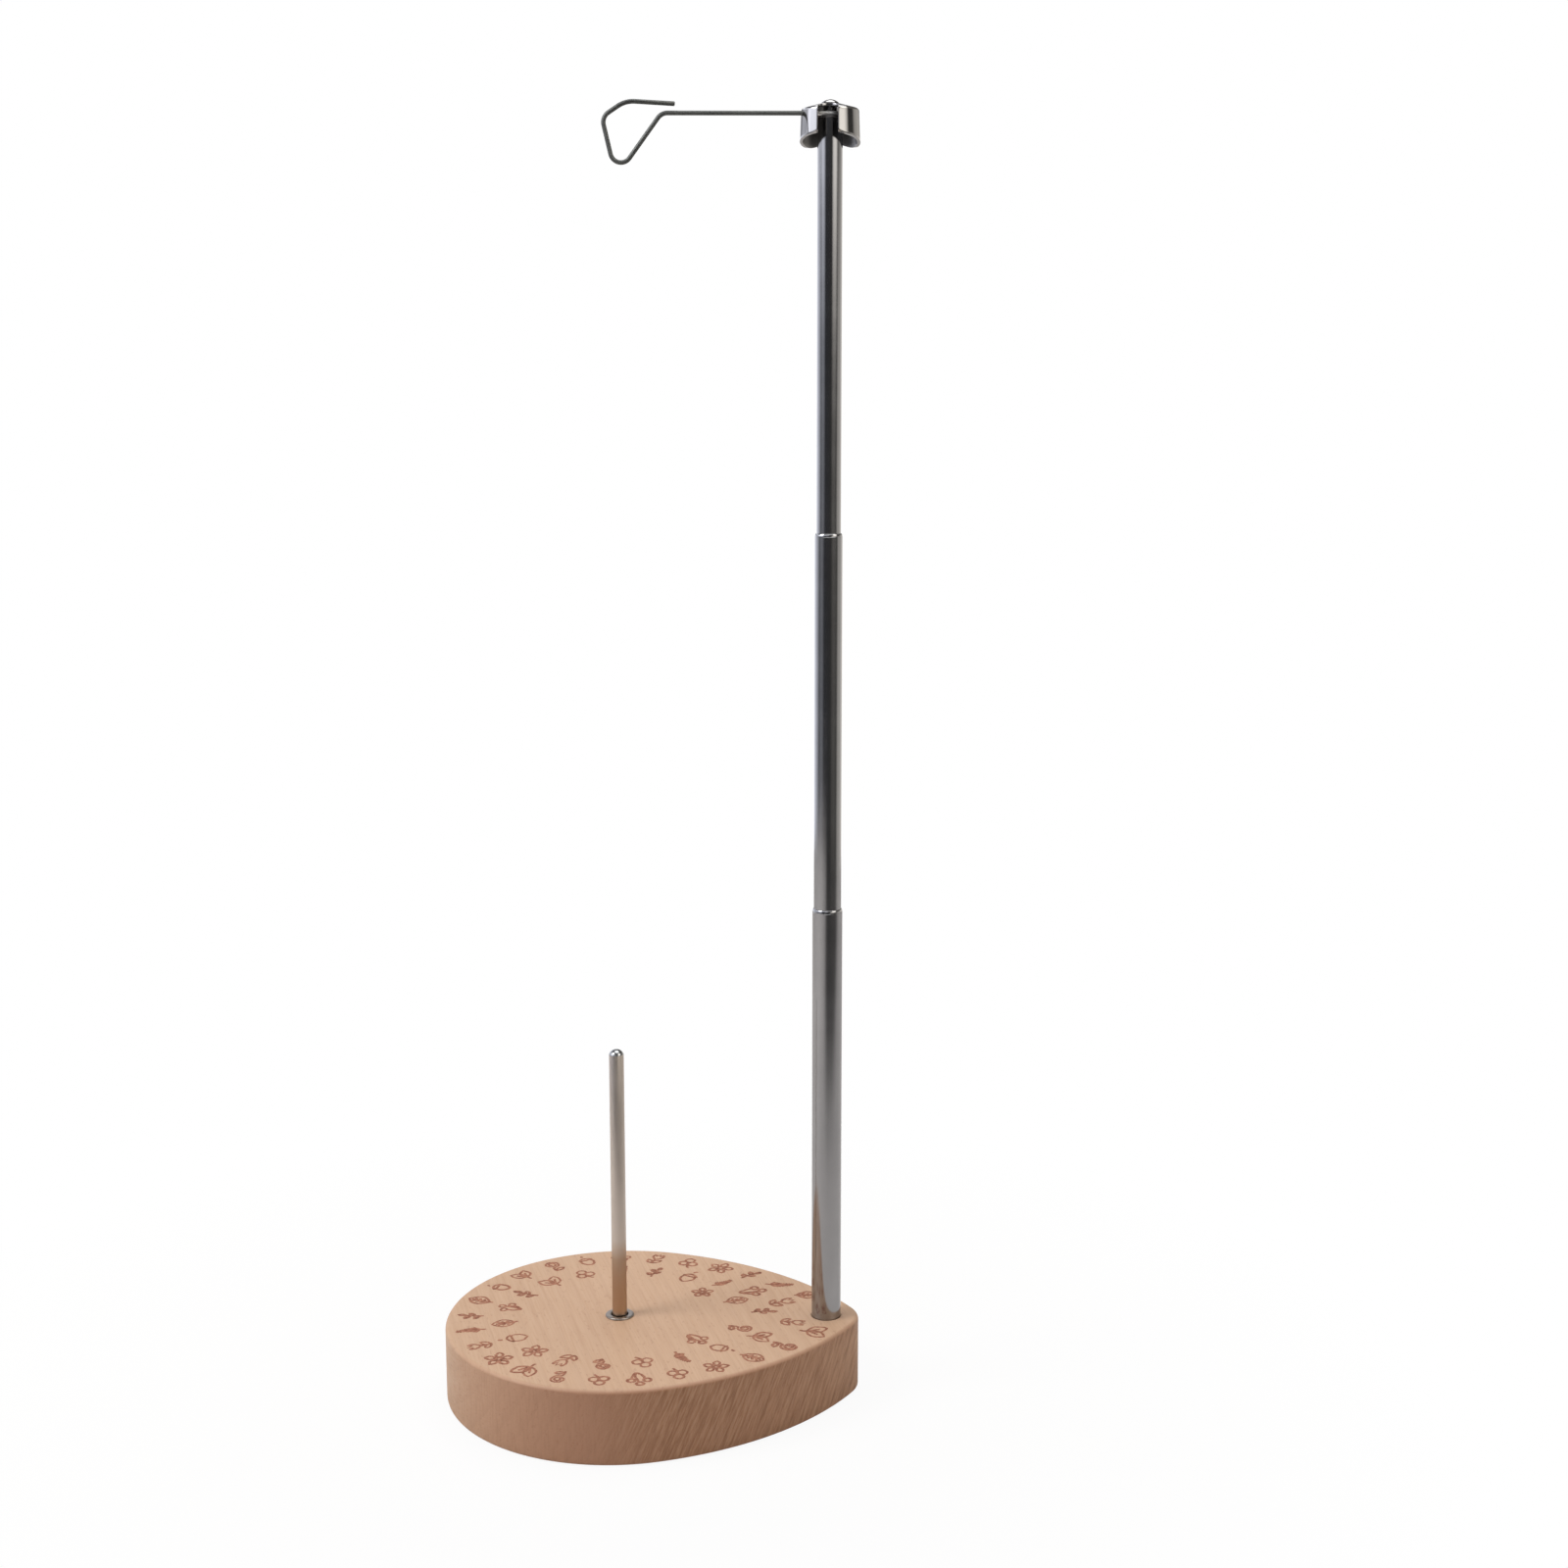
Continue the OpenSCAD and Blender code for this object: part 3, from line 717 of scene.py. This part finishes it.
# Angle at which the first row starts, how far on each next one does, and the share of a step left at its end
ROW_START = 0.08
ROW_SHIFT = 0.11
ROW_END_SHARE = 0.6
CLEAR_OF_PIN = 27 * MM
CLEAR_OF_MAST = 10.5 * MM
LINE_W = 0.82 * MM
LINE_DEPTH = 0.06 * MM
# Height of the lines over the wood, and the step between strokes, so that those that cross differ in height
LINE_RISE = 0.02 * MM
LINE_STEP = 0.002 * MM
# Unevenness of the hand: turn and size of a drawing, width of a stroke, and wobble of its points
HAND_SEED = 11
HAND_TURN = 0.3
HAND_SIZES = (0.86, 1.06)
HAND_WIDTHS = (0.85, 1.2)
HAND_WOBBLE = 0.03


def outline_reach(angle):
    """Distance from the spool pin to the base's outline in a direction."""
    away = abs((angle + math.pi) % FULL_TURN - math.pi)
    tip_join = math.atan2(TIP_R * math.sin(TIP_MEET), TIP_X + TIP_R * math.cos(TIP_MEET))
    if away > BASE_MEET:
        return base_r
    centre, radius = (Vector((TIP_X, 0)), TIP_R) if away < tip_join else (Vector((SIDE_X, -SIDE_Y)), SIDE_R)
    along = centre.dot(Vector((math.cos(away), math.sin(away))))
    return along + math.sqrt(along ** 2 - centre.length_squared + radius ** 2)


def motif_places():
    """Where each drawing stands and which way it points."""
    for row, (inset, step) in enumerate(MOTIF_ROWS):
        angle = ROW_START + ROW_SHIFT * row
        last = angle + FULL_TURN - ROW_END_SHARE * step / base_r
        while angle < last:
            radius = outline_reach(angle) - inset
            place = Vector((radius * math.cos(angle), radius * math.sin(angle)))
            if radius > CLEAR_OF_PIN and (place - mast.xy).length > CLEAR_OF_MAST:
                yield place, angle - math.pi / 2
            angle += step / radius


def add_stroke(bm, points, width, top):
    """Closed flat strip along a stroke, sunk into the wood but for its top."""
    rings = []
    for i, here in enumerate(points):
        ahead = (points[min(i + 1, len(points) - 1)] - points[max(i - 1, 0)]).normalized()
        side = Vector((-ahead.y, ahead.x)) * width / 2
        corners = ((here + side, top), (here - side, top), (here - side, base_top - LINE_DEPTH),
                   (here + side, base_top - LINE_DEPTH))
        rings.append([bm.verts.new((p.x, p.y, z)) for p, z in corners])
    for ring, after in zip(rings, rings[1:]):
        bridge(bm, ring, after)
    bm.faces.new(rings[0])
    bm.faces.new(rings[-1])


def make_engraving():
    """Rows of small burnt drawings round the top of the base, with a hand's unevenness."""
    hand = random.Random(HAND_SEED)

    def wobble():
        return Vector((hand.uniform(-HAND_WOBBLE, HAND_WOBBLE), hand.uniform(-HAND_WOBBLE, HAND_WOBBLE)))

    bm = bmesh.new()
    order = []
    for place, facing in motif_places():
        if not order:
            order = hand.sample(MOTIFS, len(MOTIFS))
        turn = Matrix.Rotation(facing + hand.uniform(-HAND_TURN, HAND_TURN), 2)
        size = MOTIF_HALF * hand.uniform(*HAND_SIZES)
        for k, stroke in enumerate(order.pop()()):
            drawn = [place + turn @ (p + wobble()) * size for p in stroke]
            width = LINE_W * hand.uniform(*HAND_WIDTHS)
            add_stroke(bm, drawn, width, base_top + LINE_RISE + LINE_STEP * k)
    dress(finish_mesh("base_engraving", bm), "base", "beech", material=SCORCHED)


# Turned metal pieces

def make_pin():
    """Straight rod with a polished domed end, above a threaded stud."""
    shoulder = insert_hi.z
    chamfer = 0.2 * MM
    dome_z = pin_hi.z - PIN_DOME_H
    section = [(0, pin_lo.z), (STUD_R, pin_lo.z), (STUD_R, shoulder), (pin_r - chamfer, shoulder),
               (pin_r, shoulder + chamfer)]
    section += dome_section(pin_r, dome_z, PIN_DOME_H) + [(0, pin_hi.z)]
    pin = dress(lathe("spool_pin_rod", section), "base", "pin_steel", ["spool_pin"])
    pin.data.materials.append(MATERIALS["fastener_steel"])
    for face in pin.data.polygons:
        face.material_index = int(face.center.z > dome_z)


def make_insert():
    """Flanged insert with a rounded flange and an open mouth round the pin."""
    top = insert_hi.z
    bore = STUD_R + SEAT_GAP
    foot_round = 0.3 * MM
    under_round = 0.1 * MM
    flange_round = 0.35 * MM
    mouth_round = 0.2 * MM
    section = rounded(
        [(bore, insert_lo.z), (INSERT_R, insert_lo.z), (INSERT_R, top - FLANGE_T), (flange_r, top - FLANGE_T),
         (flange_r, top), (MOUTH_R, top), (MOUTH_R, top - MOUTH_H), (bore, top - MOUTH_H)],
        [0, foot_round, 0, under_round, flange_round, mouth_round, 0, 0],
    )
    dress(lathe("pin_insert_ring", section), "base", "fastener_steel", ["pin_insert"], DULL_STEEL)


def rim_curl(outer, rim_inner, top):
    """Upper end of a tube's section: a fine crease and a rim that curls in to the next tube."""
    groove = 0.04 * MM
    steps = 8
    shoulder = top - RIM_H
    curl = [
        (rim_inner + (outer - groove - rim_inner) * math.cos(a), shoulder + RIM_H * math.sin(a))
        for a in (math.pi / 2 * k / steps for k in range(steps + 1))
    ]
    crease = [(outer, shoulder - 3 * groove), (outer - groove, shoulder - 2 * groove),
              (outer - groove, shoulder - groove)]
    return crease + curl + [(rim_inner, shoulder), (outer - TUBE_WALL, shoulder)]


def necked_foot(outer, bottom, outer_rim_top):
    """Lower end of a tube's section, from its bore round to its outside: a neck under a shoulder."""
    shoulder = outer_rim_top - RIM_H - END_PLAY
    neck = outer - NECK_STEP
    return [(outer - TUBE_WALL, shoulder + TUBE_WALL), (neck - TUBE_WALL, shoulder + TUBE_WALL),
            (neck - TUBE_WALL, bottom), (neck, bottom), (neck, shoulder), (outer, shoulder)]


def make_tubes():
    """Three telescopic tubes, each with a rim that keeps the next one in."""
    lower = [(lower_r - TUBE_WALL, lower_lo.z), (lower_r, lower_lo.z)]
    lower += rim_curl(lower_r, middle_r + SLIDE_GAP, lower_hi.z)
    dress(lathe("lower_tube_shell", lower, mast), "base", "tube_steel", ["lower_tube"])
    middle = necked_foot(middle_r, middle_lo.z, lower_hi.z)
    middle += rim_curl(middle_r, upper_r + SLIDE_GAP, middle_hi.z)
    dress(lathe("middle_tube_shell", middle, mast), "middle_section", "tube_steel", ["middle_tube"])
    edge = 0.1 * MM
    upper = necked_foot(upper_r, upper_lo.z, middle_hi.z)
    upper += [(upper_r, upper_hi.z - edge), (upper_r - edge, upper_hi.z), (upper_r - TUBE_WALL, upper_hi.z)]
    dress(lathe("upper_tube_shell", upper, mast), "upper_section", "tube_steel", ["upper_tube"])


def washer(name, radius, bore, bottom, top, edge):
    """Flat ring on the mast's axis, with a rounded rim."""
    section = rounded([(bore, bottom), (radius, bottom), (radius, top), (bore, top)], [0, edge, edge, 0])
    return lathe(name, section, mast)


def make_screw():
    """Pan-head screw under the base, with a cross recess, and its washer."""
    bearing = screw_washer_lo.z
    chamfer = 0.5 * MM
    head_round = 1.1 * MM
    recess_edge = 0.08 * MM
    washer_edge = 0.2 * MM
    section = rounded(
        [(0, screw_lo.z), (screw_head_r, screw_lo.z), (screw_head_r, bearing), (SCREW_R, bearing),
         (SCREW_R, screw_hi.z - chamfer), (SCREW_R - chamfer, screw_hi.z), (0, screw_hi.z)],
        [0, head_round, 0, 0, 0, 0, 0],
    )
    screw = lathe("mast_screw_body", section, mast)
    long, wide, deep = SCREW_RECESS
    for size in ((long, wide), (wide, long)):
        bm = bmesh.new()
        bmesh.ops.create_cube(bm, matrix=Matrix.Diagonal((*size, 2 * deep, 1)))
        cutter = finish_mesh("recess_cutter", bm)
        cutter.location = (mast.x, mast.y, screw_lo.z)
        cut = screw.modifiers.new("recess", "BOOLEAN")
        cut.object = cutter
        bake(screw)
        bpy.data.objects.remove(cutter)
    soften(screw, recess_edge, 2)
    dress(screw, "base", "fastener_steel", ["mast_screw"])
    ring = washer("mast_washer_ring", screw_washer_r, SCREW_HOLE_R, bearing, screw_washer_hi.z, washer_edge)
    dress(ring, "base", "fastener_steel", ["mast_washer"])


# Head of the mast

def make_rivet():
    """Domed rivet that the guide turns on, and the bearing washer under the guide."""
    head = rivet_hi.z - RIVET_HEAD_H
    lip = 0.12 * MM
    washer_edge = 0.15 * MM
    section = [(0, rivet_lo.z), (RIVET_R, rivet_lo.z), (RIVET_R, ceiling_z), (RIVET_SHOULDER_R, ceiling_z),
               (RIVET_SHOULDER_R, head), (rivet_head_r - lip, head)]
    section += dome_section(rivet_head_r, head + lip, RIVET_HEAD_H - lip) + [(0, rivet_hi.z)]
    dress(lathe("cap_rivet_dome", section, mast), "upper_section", "cap_steel", ["cap_rivet"])
    bore = RIVET_R + SEAT_GAP
    ring = washer("bearing_washer_ring", upper_r, bore, bearing_lo.z, bearing_hi.z, washer_edge)
    # The bearing washer is painted darker, as shade under the cap
    dress(ring, "upper_section", "fastener_steel", ["bearing_washer"], PAINTED_SHADE_STEEL)


def slot_half_angle(radius, slot_in):
    """Half the angle that a round-ended slot takes out of a circle about the mast."""
    end = slot_in + SLOT_HALF
    if radius <= slot_in:
        return 0.0
    if radius >= math.hypot(end, SLOT_HALF):
        return math.asin(SLOT_HALF / radius)
    return math.acos((radius ** 2 + end ** 2 - SLOT_HALF ** 2) / (2 * radius * end))


def lug_bottom(y):
    """Height of a lug's sloping lower edge with its two round corners, by the distance behind the mast."""
    for end, radius in ((-1, LUG_NOSE), (1, LUG_ROUND)):
        centre_y = end * (lug_reach - radius)
        meets = centre_y - radius * math.sin(math.radians(LUG_RAKE))
        if (y - meets) * end > 0:
            centre_z = cap_top - CAP_H - centre_y * lug_slope + radius * math.hypot(1, lug_slope)
            return centre_z - math.sqrt(max(radius ** 2 - (y - centre_y) ** 2, 0))
    return cap_top - CAP_H - y * lug_slope


def cap_half(bm, side, columns=44, roof_rows=24, skirt_rows=10):
    """One lug with its half of the roof, as a closed sheet between the two slots."""
    slope = math.atan2(ROOF_RISE, CAP_R - CROWN_R)
    hole = RIVET_SHOULDER_R + SLIDE_GAP
    crown = cap_top + ROOF_RISE
    flare = LUG_FLARE / skirt_h
    crown_round = 0.5 * MM
    inner_round = 0.3 * MM
    row_margin = 0.2 * MM
    outside = rounded([(hole, crown), (CROWN_R, crown), (CAP_R, cap_top), (lug_reach, cap_top - skirt_h)],
                      [0, crown_round, CAP_EDGE, 0])[:-1]
    inner_r = CAP_R - CAP_WALL
    inner_top = crown - CAP_WALL
    inner_crown = (CROWN_R - CAP_WALL * math.tan(slope / 2), inner_top)
    inside = rounded([(hole, inner_top), inner_crown, (inner_r, ceiling_z), (inner_r, cap_top - skirt_h)],
                     [0, crown_round, inner_round, 0])[:-1]
    first_row = CROWN_R + row_margin
    last_row = inner_r - inner_round
    row_radii = [first_row + (last_row - first_row) * k / roof_rows for k in range(roof_rows + 1)]

    def filled(path):
        """Path with the slope of the roof cut into rows, at the same radii on both faces of the sheet."""
        longest = max(range(len(path) - 1), key=lambda i: (path[i + 1] - path[i]).length)
        start, end = path[longest:longest + 2]
        rows = [start.lerp(end, (radius - start[0]) / (end[0] - start[0])) for radius in row_radii]
        return path[:longest + 1] + rows + path[longest + 1:]

    def column(t):
        """Points round the sheet's section, at a share of the way from the front slot to the back one."""
        points = []
        for path, drawn_in in ((filled(outside), 0.0), (filled(inside), CAP_WALL)):
            last = path[-1]
            bottom_r = lug_reach - drawn_in
            angle = section_angle(bottom_r, t)
            low = lug_bottom(bottom_r * math.sin(angle))
            drop = [Vector((last[0] + (last[1] - z) * flare, z))
                    for z in (last[1] + (low - last[1]) * k / skirt_rows for k in range(1, skirt_rows + 1))]
            line = path + drop
            points += line if drawn_in == 0.0 else list(reversed(line))
        return points

    def section_angle(radius, t):
        """Angle about the mast at a share of the way between the slots."""
        first = -math.pi / 2 + slot_half_angle(radius, FRONT_SLOT_IN)
        last = math.pi / 2 - slot_half_angle(radius, CAP_R - 2 * CAP_WALL)
        return first + (last - first) * t

    rings = []
    for k in range(columns + 1):
        t = k / columns
        ring = []
        for radius, height in column(t):
            a = section_angle(radius, t)
            ring.append(bm.verts.new((side * radius * math.cos(a), radius * math.sin(a), height)))
        rings.append(ring)
    outer_count = len(rings[0]) // 2
    for ring, after in zip(rings, rings[1:]):
        # Faces inside the sheet take the second material, darker steel that paints the shade inside the cap
        for face in bridge(bm, ring, after)[outer_count:-1]:
            face.material_index = 1
    # End walls, but for where the halves join
    for ring in (rings[0], rings[-1]):
        for k in range(outer_count - 1):
            if abs(ring[k + 1].co.x) > CAP_SEAM:
                bm.faces.new([ring[k], ring[k + 1], ring[-2 - k], ring[-1 - k]])


def make_cap():
    """Pressed cap with two flared lugs, a slot through its roof in front and one through its skirt behind."""
    bm = bmesh.new()
    for side in (-1, 1):
        cap_half(bm, side)
    bmesh.ops.remove_doubles(bm, verts=bm.verts, dist=CAP_SEAM)
    bm.transform(Matrix.Translation(mast) @ Matrix.Rotation(math.radians(SLOT_TURN), 4, "Z"))
    cap = dress(finish_mesh("guide_cap_sheet", bm), "guide", "cap_steel", ["guide_cap"])
    # Second material: darker steel for the painted shade on the cap's inner faces
    cap.data.materials.append(PAINTED_SHADE_STEEL)
    soften(cap, SHEET_EDGE)


# Corners of the thread guide in millimetres, along the arm from the mast's axis and up from the arm
GUIDE_CORNERS = [(0, 0), (-47.6, 0), (-60.6, -17.5), (-64.4, -1.1), (-57.7, 3.3), (-43.8, 2.5)]
# Radius of the bend at each corner, and how far the wire goes round the rivet in degrees
GUIDE_BENDS = [0, 3.4, 3, 3.2, 8, 0]
EYE_TURN = 250


def make_guide():
    """Bent wire: an eye round the rivet, a straight arm and an open loop."""
    eye_steps = 40
    bend_steps = 14
    eye = [
        mast + Vector((-wire_y * math.cos(a), -wire_y * math.sin(a), wire_z))
        for a in (math.radians(EYE_TURN * (1 - k / eye_steps) - 90) for k in range(eye_steps))
    ]
    corners = [(x * MM, z * MM) for x, z in GUIDE_CORNERS]
    bends = rounded(corners, [r * MM for r in GUIDE_BENDS], bend_steps)
    arm = [mast + Vector((along, wire_y, wire_z + up)) for along, up in bends]
    dress(sweep_wire("thread_guide_wire", eye + arm, WIRE_R), "guide", "wire_steel", ["thread_guide"])


make_base()
make_engraving()
make_pin()
make_insert()
make_tubes()
make_screw()
make_rivet()
make_cap()
make_guide()

# Finish of the nodes that keep their own shape
SLOT_OF = {row["node"]: row["material_slot"] for row in frame["record"]["subparts"]}
for node_name, node in frame["nodes"].items():
    node.data.materials.clear()
    node.data.materials.append(MATERIALS[SLOT_OF[node_name]])

# Stage

FLOOR_DROP = 0.2 * MM
FLOOR_R = 0.84
FLOOR_UNDER_BASE = BASE_EDGE
# Brightness of the floor by distance beyond a place near the camera that the light hardly reaches
FLOOR_TONES = [(0.0, 0.09), (0.15, 0.12), (0.2, 0.2), (0.26, 0.36), (0.32, 0.51), (0.38, 0.61), (0.6, 0.72)]
FLOOR_DARK = (0.16, -0.56, 0)
FLOOR_TINT = (1.04, 0.99, 0.96)
# On the right of that place the dark runs on: share of a distance that counts there, and its slant
RIGHT_SHARE = 0.33
RIGHT_SLANT = 0.42
# Share of plain white in what the camera sees of the floor, near the object and far away, and where these are
FLOOR_WHITE = (0.93, 1.0)
FLOOR_WHITE_AT = (0.1, 0.26)


def grey(light):
    return colour(light, light, light)


def make_floor():
    """Pale floor that fades to the white background away from the object, and keeps its shadow near it.

    It is open under the base and clear from below, so that the underside can be looked at."""
    bm = bmesh.new()
    rim = circle(bm, (0, 0, 0), FLOOR_R, 0.0, RING_SEGMENTS)
    opening = [bm.verts.new((p.x, p.y, 0)) for p in egg_outline(FLOOR_UNDER_BASE)]
    for ring in (rim, opening):
        for k, corner in enumerate(ring):
            bm.edges.new((corner, ring[(k + 1) % len(ring)]))
    fill_flat(bm, [rim, opening])
    floor = finish_mesh("floor", bm)
    if floor.data.polygons[0].normal.z < 0:
        floor.data.flip_normals()
    floor.location.z = -FLOOR_DROP
    n = new_material("pale_floor")
    place = n.coords()
    parts = n.parts(place)
    beyond = n.math("MAXIMUM", n.math("SUBTRACT", parts["X"], FLOOR_DARK[0]), 0.0)
    nearer_x = n.math("SUBTRACT", parts["X"], n.math("MULTIPLY", beyond, 1 - RIGHT_SHARE))
    nearer_y = n.math("SUBTRACT", parts["Y"], n.math("MULTIPLY", beyond, RIGHT_SLANT))
    nearer = n.add("CombineXYZ", X=nearer_x, Y=n.math("MAXIMUM", nearer_y, FLOOR_DARK[1]))
    away = n.distance(nearer.outputs["Vector"], FLOOR_DARK)
    tones = [(d, colour(*(light * share for share in FLOOR_TINT))) for d, light in FLOOR_TONES]
    tone = n.stops(away, tones, 0.0, FLOOR_TONES[-1][0])
    n.set(Base_Color=tone, Roughness=0.9, Specular_IOR_Level=0.1)
    white_share = n.ramp(n.vector_math("LENGTH", place)["Value"], *FLOOR_WHITE_AT, *FLOOR_WHITE)
    seen = n.math("MULTIPLY", n.add("LightPath").outputs["Is Camera Ray"], white_share)
    white = n.add("Emission", Color=grey(1), Strength=1.0)
    shown = n.mix_shaders(seen, n.shader.outputs[0], white.outputs[0])
    clear = n.add("BsdfTransparent")
    shown = n.mix_shaders(n.add("NewGeometry").outputs["Backfacing"], shown, clear.outputs[0])
    n.put(n.tree.nodes["Material Output"].inputs["Surface"], shown)
    floor.data.materials.append(n.owner)


# Studio for polished metal to mirror. Each panel has its bearing from the front, rightwards, half its width
# and the width of its soft edge, in degrees, and its brightness high up, above eye level and below it
PANELS = {
    "back_wall": (-158, 62, 70, (0.2, 1.4, 0)),
    "back_floor": (-165, 55, 60, (0, 0, 1.4)),
    "left_flat": (-115, 24, 16, (0.66, 0, 0.12)),
    "left_lamp": (-63, 15, 18, (0, 1.3, 0.26)),
    "left_lamp_head": (-75, 23, 12, (2.1, 0, 0)),
    "right_lamp": (46, 18, 20, (2.1, 1.9, 0.1)),
    "right_flat": (106, 27, 20, (0, 0.45, 0.66)),
    "far_right_flat": (125, 22, 14, (0.6, 0, 0)),
}
DARK_ROOM = 0.07
# Bright board above the panels on the left, and the dark ceiling
BOARD = 1.9
CEILING = 0.22
# Rise of a ray, from -1 to 1, over which each part of the studio gives way to the next, and the board's edge
EYE_LEVEL = (-0.02, 0.118)
EYE_LEVEL_POWER = 2.5
HIGH_FROM = (0.125, 0.15)
BOARD_FROM = (0.3, 0.34)
CEILING_FROM = (0.44, 0.52)
BOARD_EDGE = (-0.01, 0.03)
# Softbox high on the right: bearing, height, and the angles from its middle at which its edge ends and begins
SOFTBOX_BEARING = math.radians(60)
SOFTBOX_RISE = math.radians(38)
SOFTBOX_EDGE = (math.radians(18), math.radians(12))
SOFTBOX = 4.0
# Tint of the studio on its left and right sides, and plain light for what isn't polished
COOL_SIDE = colour(0.94, 0.965, 1.07)
WARM_SIDE = colour(1.05, 1.0, 0.93)
SIDES_MEET = (-0.5, 0.5)
FILL = 0.4


def make_world():
    """White background, with a studio for metal to mirror and a plain fill for the rest."""
    world = bpy.data.worlds.new("studio")
    bpy.context.scene.world = world
    n = Nodes(world)
    n.tree.nodes.clear()
    direction = n.coords("Generated")
    level_way = n.vector_math("MULTIPLY", direction, (1, 1, 0))["Vector"]
    level_way = n.vector_math("NORMALIZE", level_way)["Vector"]
    panels = (DARK_ROOM, DARK_ROOM, DARK_ROOM)
    for bearing, half, soft, brightness in PANELS.values():
        middle = math.radians(bearing)
        outer, inner = (math.cos(math.radians(half + side * soft / 2)) for side in (1, -1))
        share = n.ramp(n.dot(level_way, (math.sin(middle), -math.cos(middle), 0)), outer, inner)
        panels = n.vector_math("MULTIPLY_ADD", share, brightness, panels)["Vector"]
    high, above, below = n.parts(panels)
    rise = n.parts(direction)["Z"]
    rightward = n.parts(direction)["X"]
    level = n.mix(n.math("POWER", n.ramp(rise, *EYE_LEVEL), EYE_LEVEL_POWER), below, above)
    level = n.mix(n.ramp(rise, *HIGH_FROM), level, high)
    level = n.mix(n.ramp(rise, *BOARD_FROM), level, n.ramp(rightward, *BOARD_EDGE, BOARD, CEILING))
    level = n.mix(n.ramp(rise, *CEILING_FROM), level, grey(CEILING))
    out = math.cos(SOFTBOX_RISE)
    softbox_way = (out * math.sin(SOFTBOX_BEARING), -out * math.cos(SOFTBOX_BEARING), math.sin(SOFTBOX_RISE))
    softbox = n.ramp(n.dot(direction, softbox_way), *(math.cos(angle) for angle in SOFTBOX_EDGE))
    level = n.mix(softbox, level, grey(SOFTBOX))
    tint = n.mix(n.ramp(rightward, *SIDES_MEET), COOL_SIDE, WARM_SIDE)
    tinted = n.vector_math("MULTIPLY", level, tint)["Vector"]
    path = n.add("LightPath")
    glossy = n.math("MAXIMUM", path.outputs["Is Glossy Ray"], path.outputs["Is Transmission Ray"])
    fill = n.add("Background", Color=grey(1), Strength=FILL)
    mirror = n.add("Background", Color=tinted, Strength=1.0)
    white = n.add("Background", Color=grey(1), Strength=1.0)
    unseen = n.mix_shaders(glossy, fill.outputs[0], mirror.outputs[0])
    n.add("OutputWorld", Surface=n.mix_shaders(path.outputs["Is Camera Ray"], unseen, white.outputs[0]))


# Lamps: place, point that they face, width, power, and whether metal mirrors them
LAMPS = {
    "key": ((-0.8, -0.28, 0.98), (0.02, 0, 0.05), 0.6, 8.3, True),
    "top": ((0.1, 0.12, 1.2), (0.03, 0, 0.05), 0.9, 6.8, True),
    "side": ((0.9, 0.18, 0.3), (0.06, 0, 0.01), 0.5, 0.6, False),
}


def make_lamp(name, place, target, size, power, mirrored):
    """Soft round lamp that faces a point."""
    lamp = bpy.data.lights.new(name, "AREA")
    lamp.shape = "DISK"
    lamp.size = size
    lamp.energy = power
    holder = bpy.data.objects.new(name, lamp)
    bpy.context.scene.collection.objects.link(holder)
    holder.visible_glossy = mirrored
    holder.location = place
    holder.rotation_euler = (Vector(target) - Vector(place)).to_track_quat("-Z", "Y").to_euler()


# Camera of the photograph: focal length in pixels of a 1600-pixel frame, place, and tilt and turn in degrees
FRAME_PX = 1600
FOCAL_PX = 2200
SENSOR_MM = 36
CAMERA_AT = (46.2 * MM, -632.6 * MM, 297.1 * MM)
CAMERA_TILT = 9.6
CAMERA_TURN = 0.43
NEAREST_SEEN = 10 * MM


def make_camera():
    camera = bpy.data.cameras.new("camera")
    camera.sensor_width = SENSOR_MM
    camera.lens = FOCAL_PX * SENSOR_MM / FRAME_PX
    camera.clip_start = NEAREST_SEEN
    holder = bpy.data.objects.new("camera", camera)
    bpy.context.scene.collection.objects.link(holder)
    holder.location = CAMERA_AT
    holder.rotation_euler = (math.radians(90 - CAMERA_TILT), 0, math.radians(-CAMERA_TURN))
    bpy.context.scene.camera = holder


make_floor()
make_world()
for lamp_name, settings in LAMPS.items():
    make_lamp(lamp_name, *settings)
make_camera()
bpy.context.scene.view_settings.view_transform = "Standard"
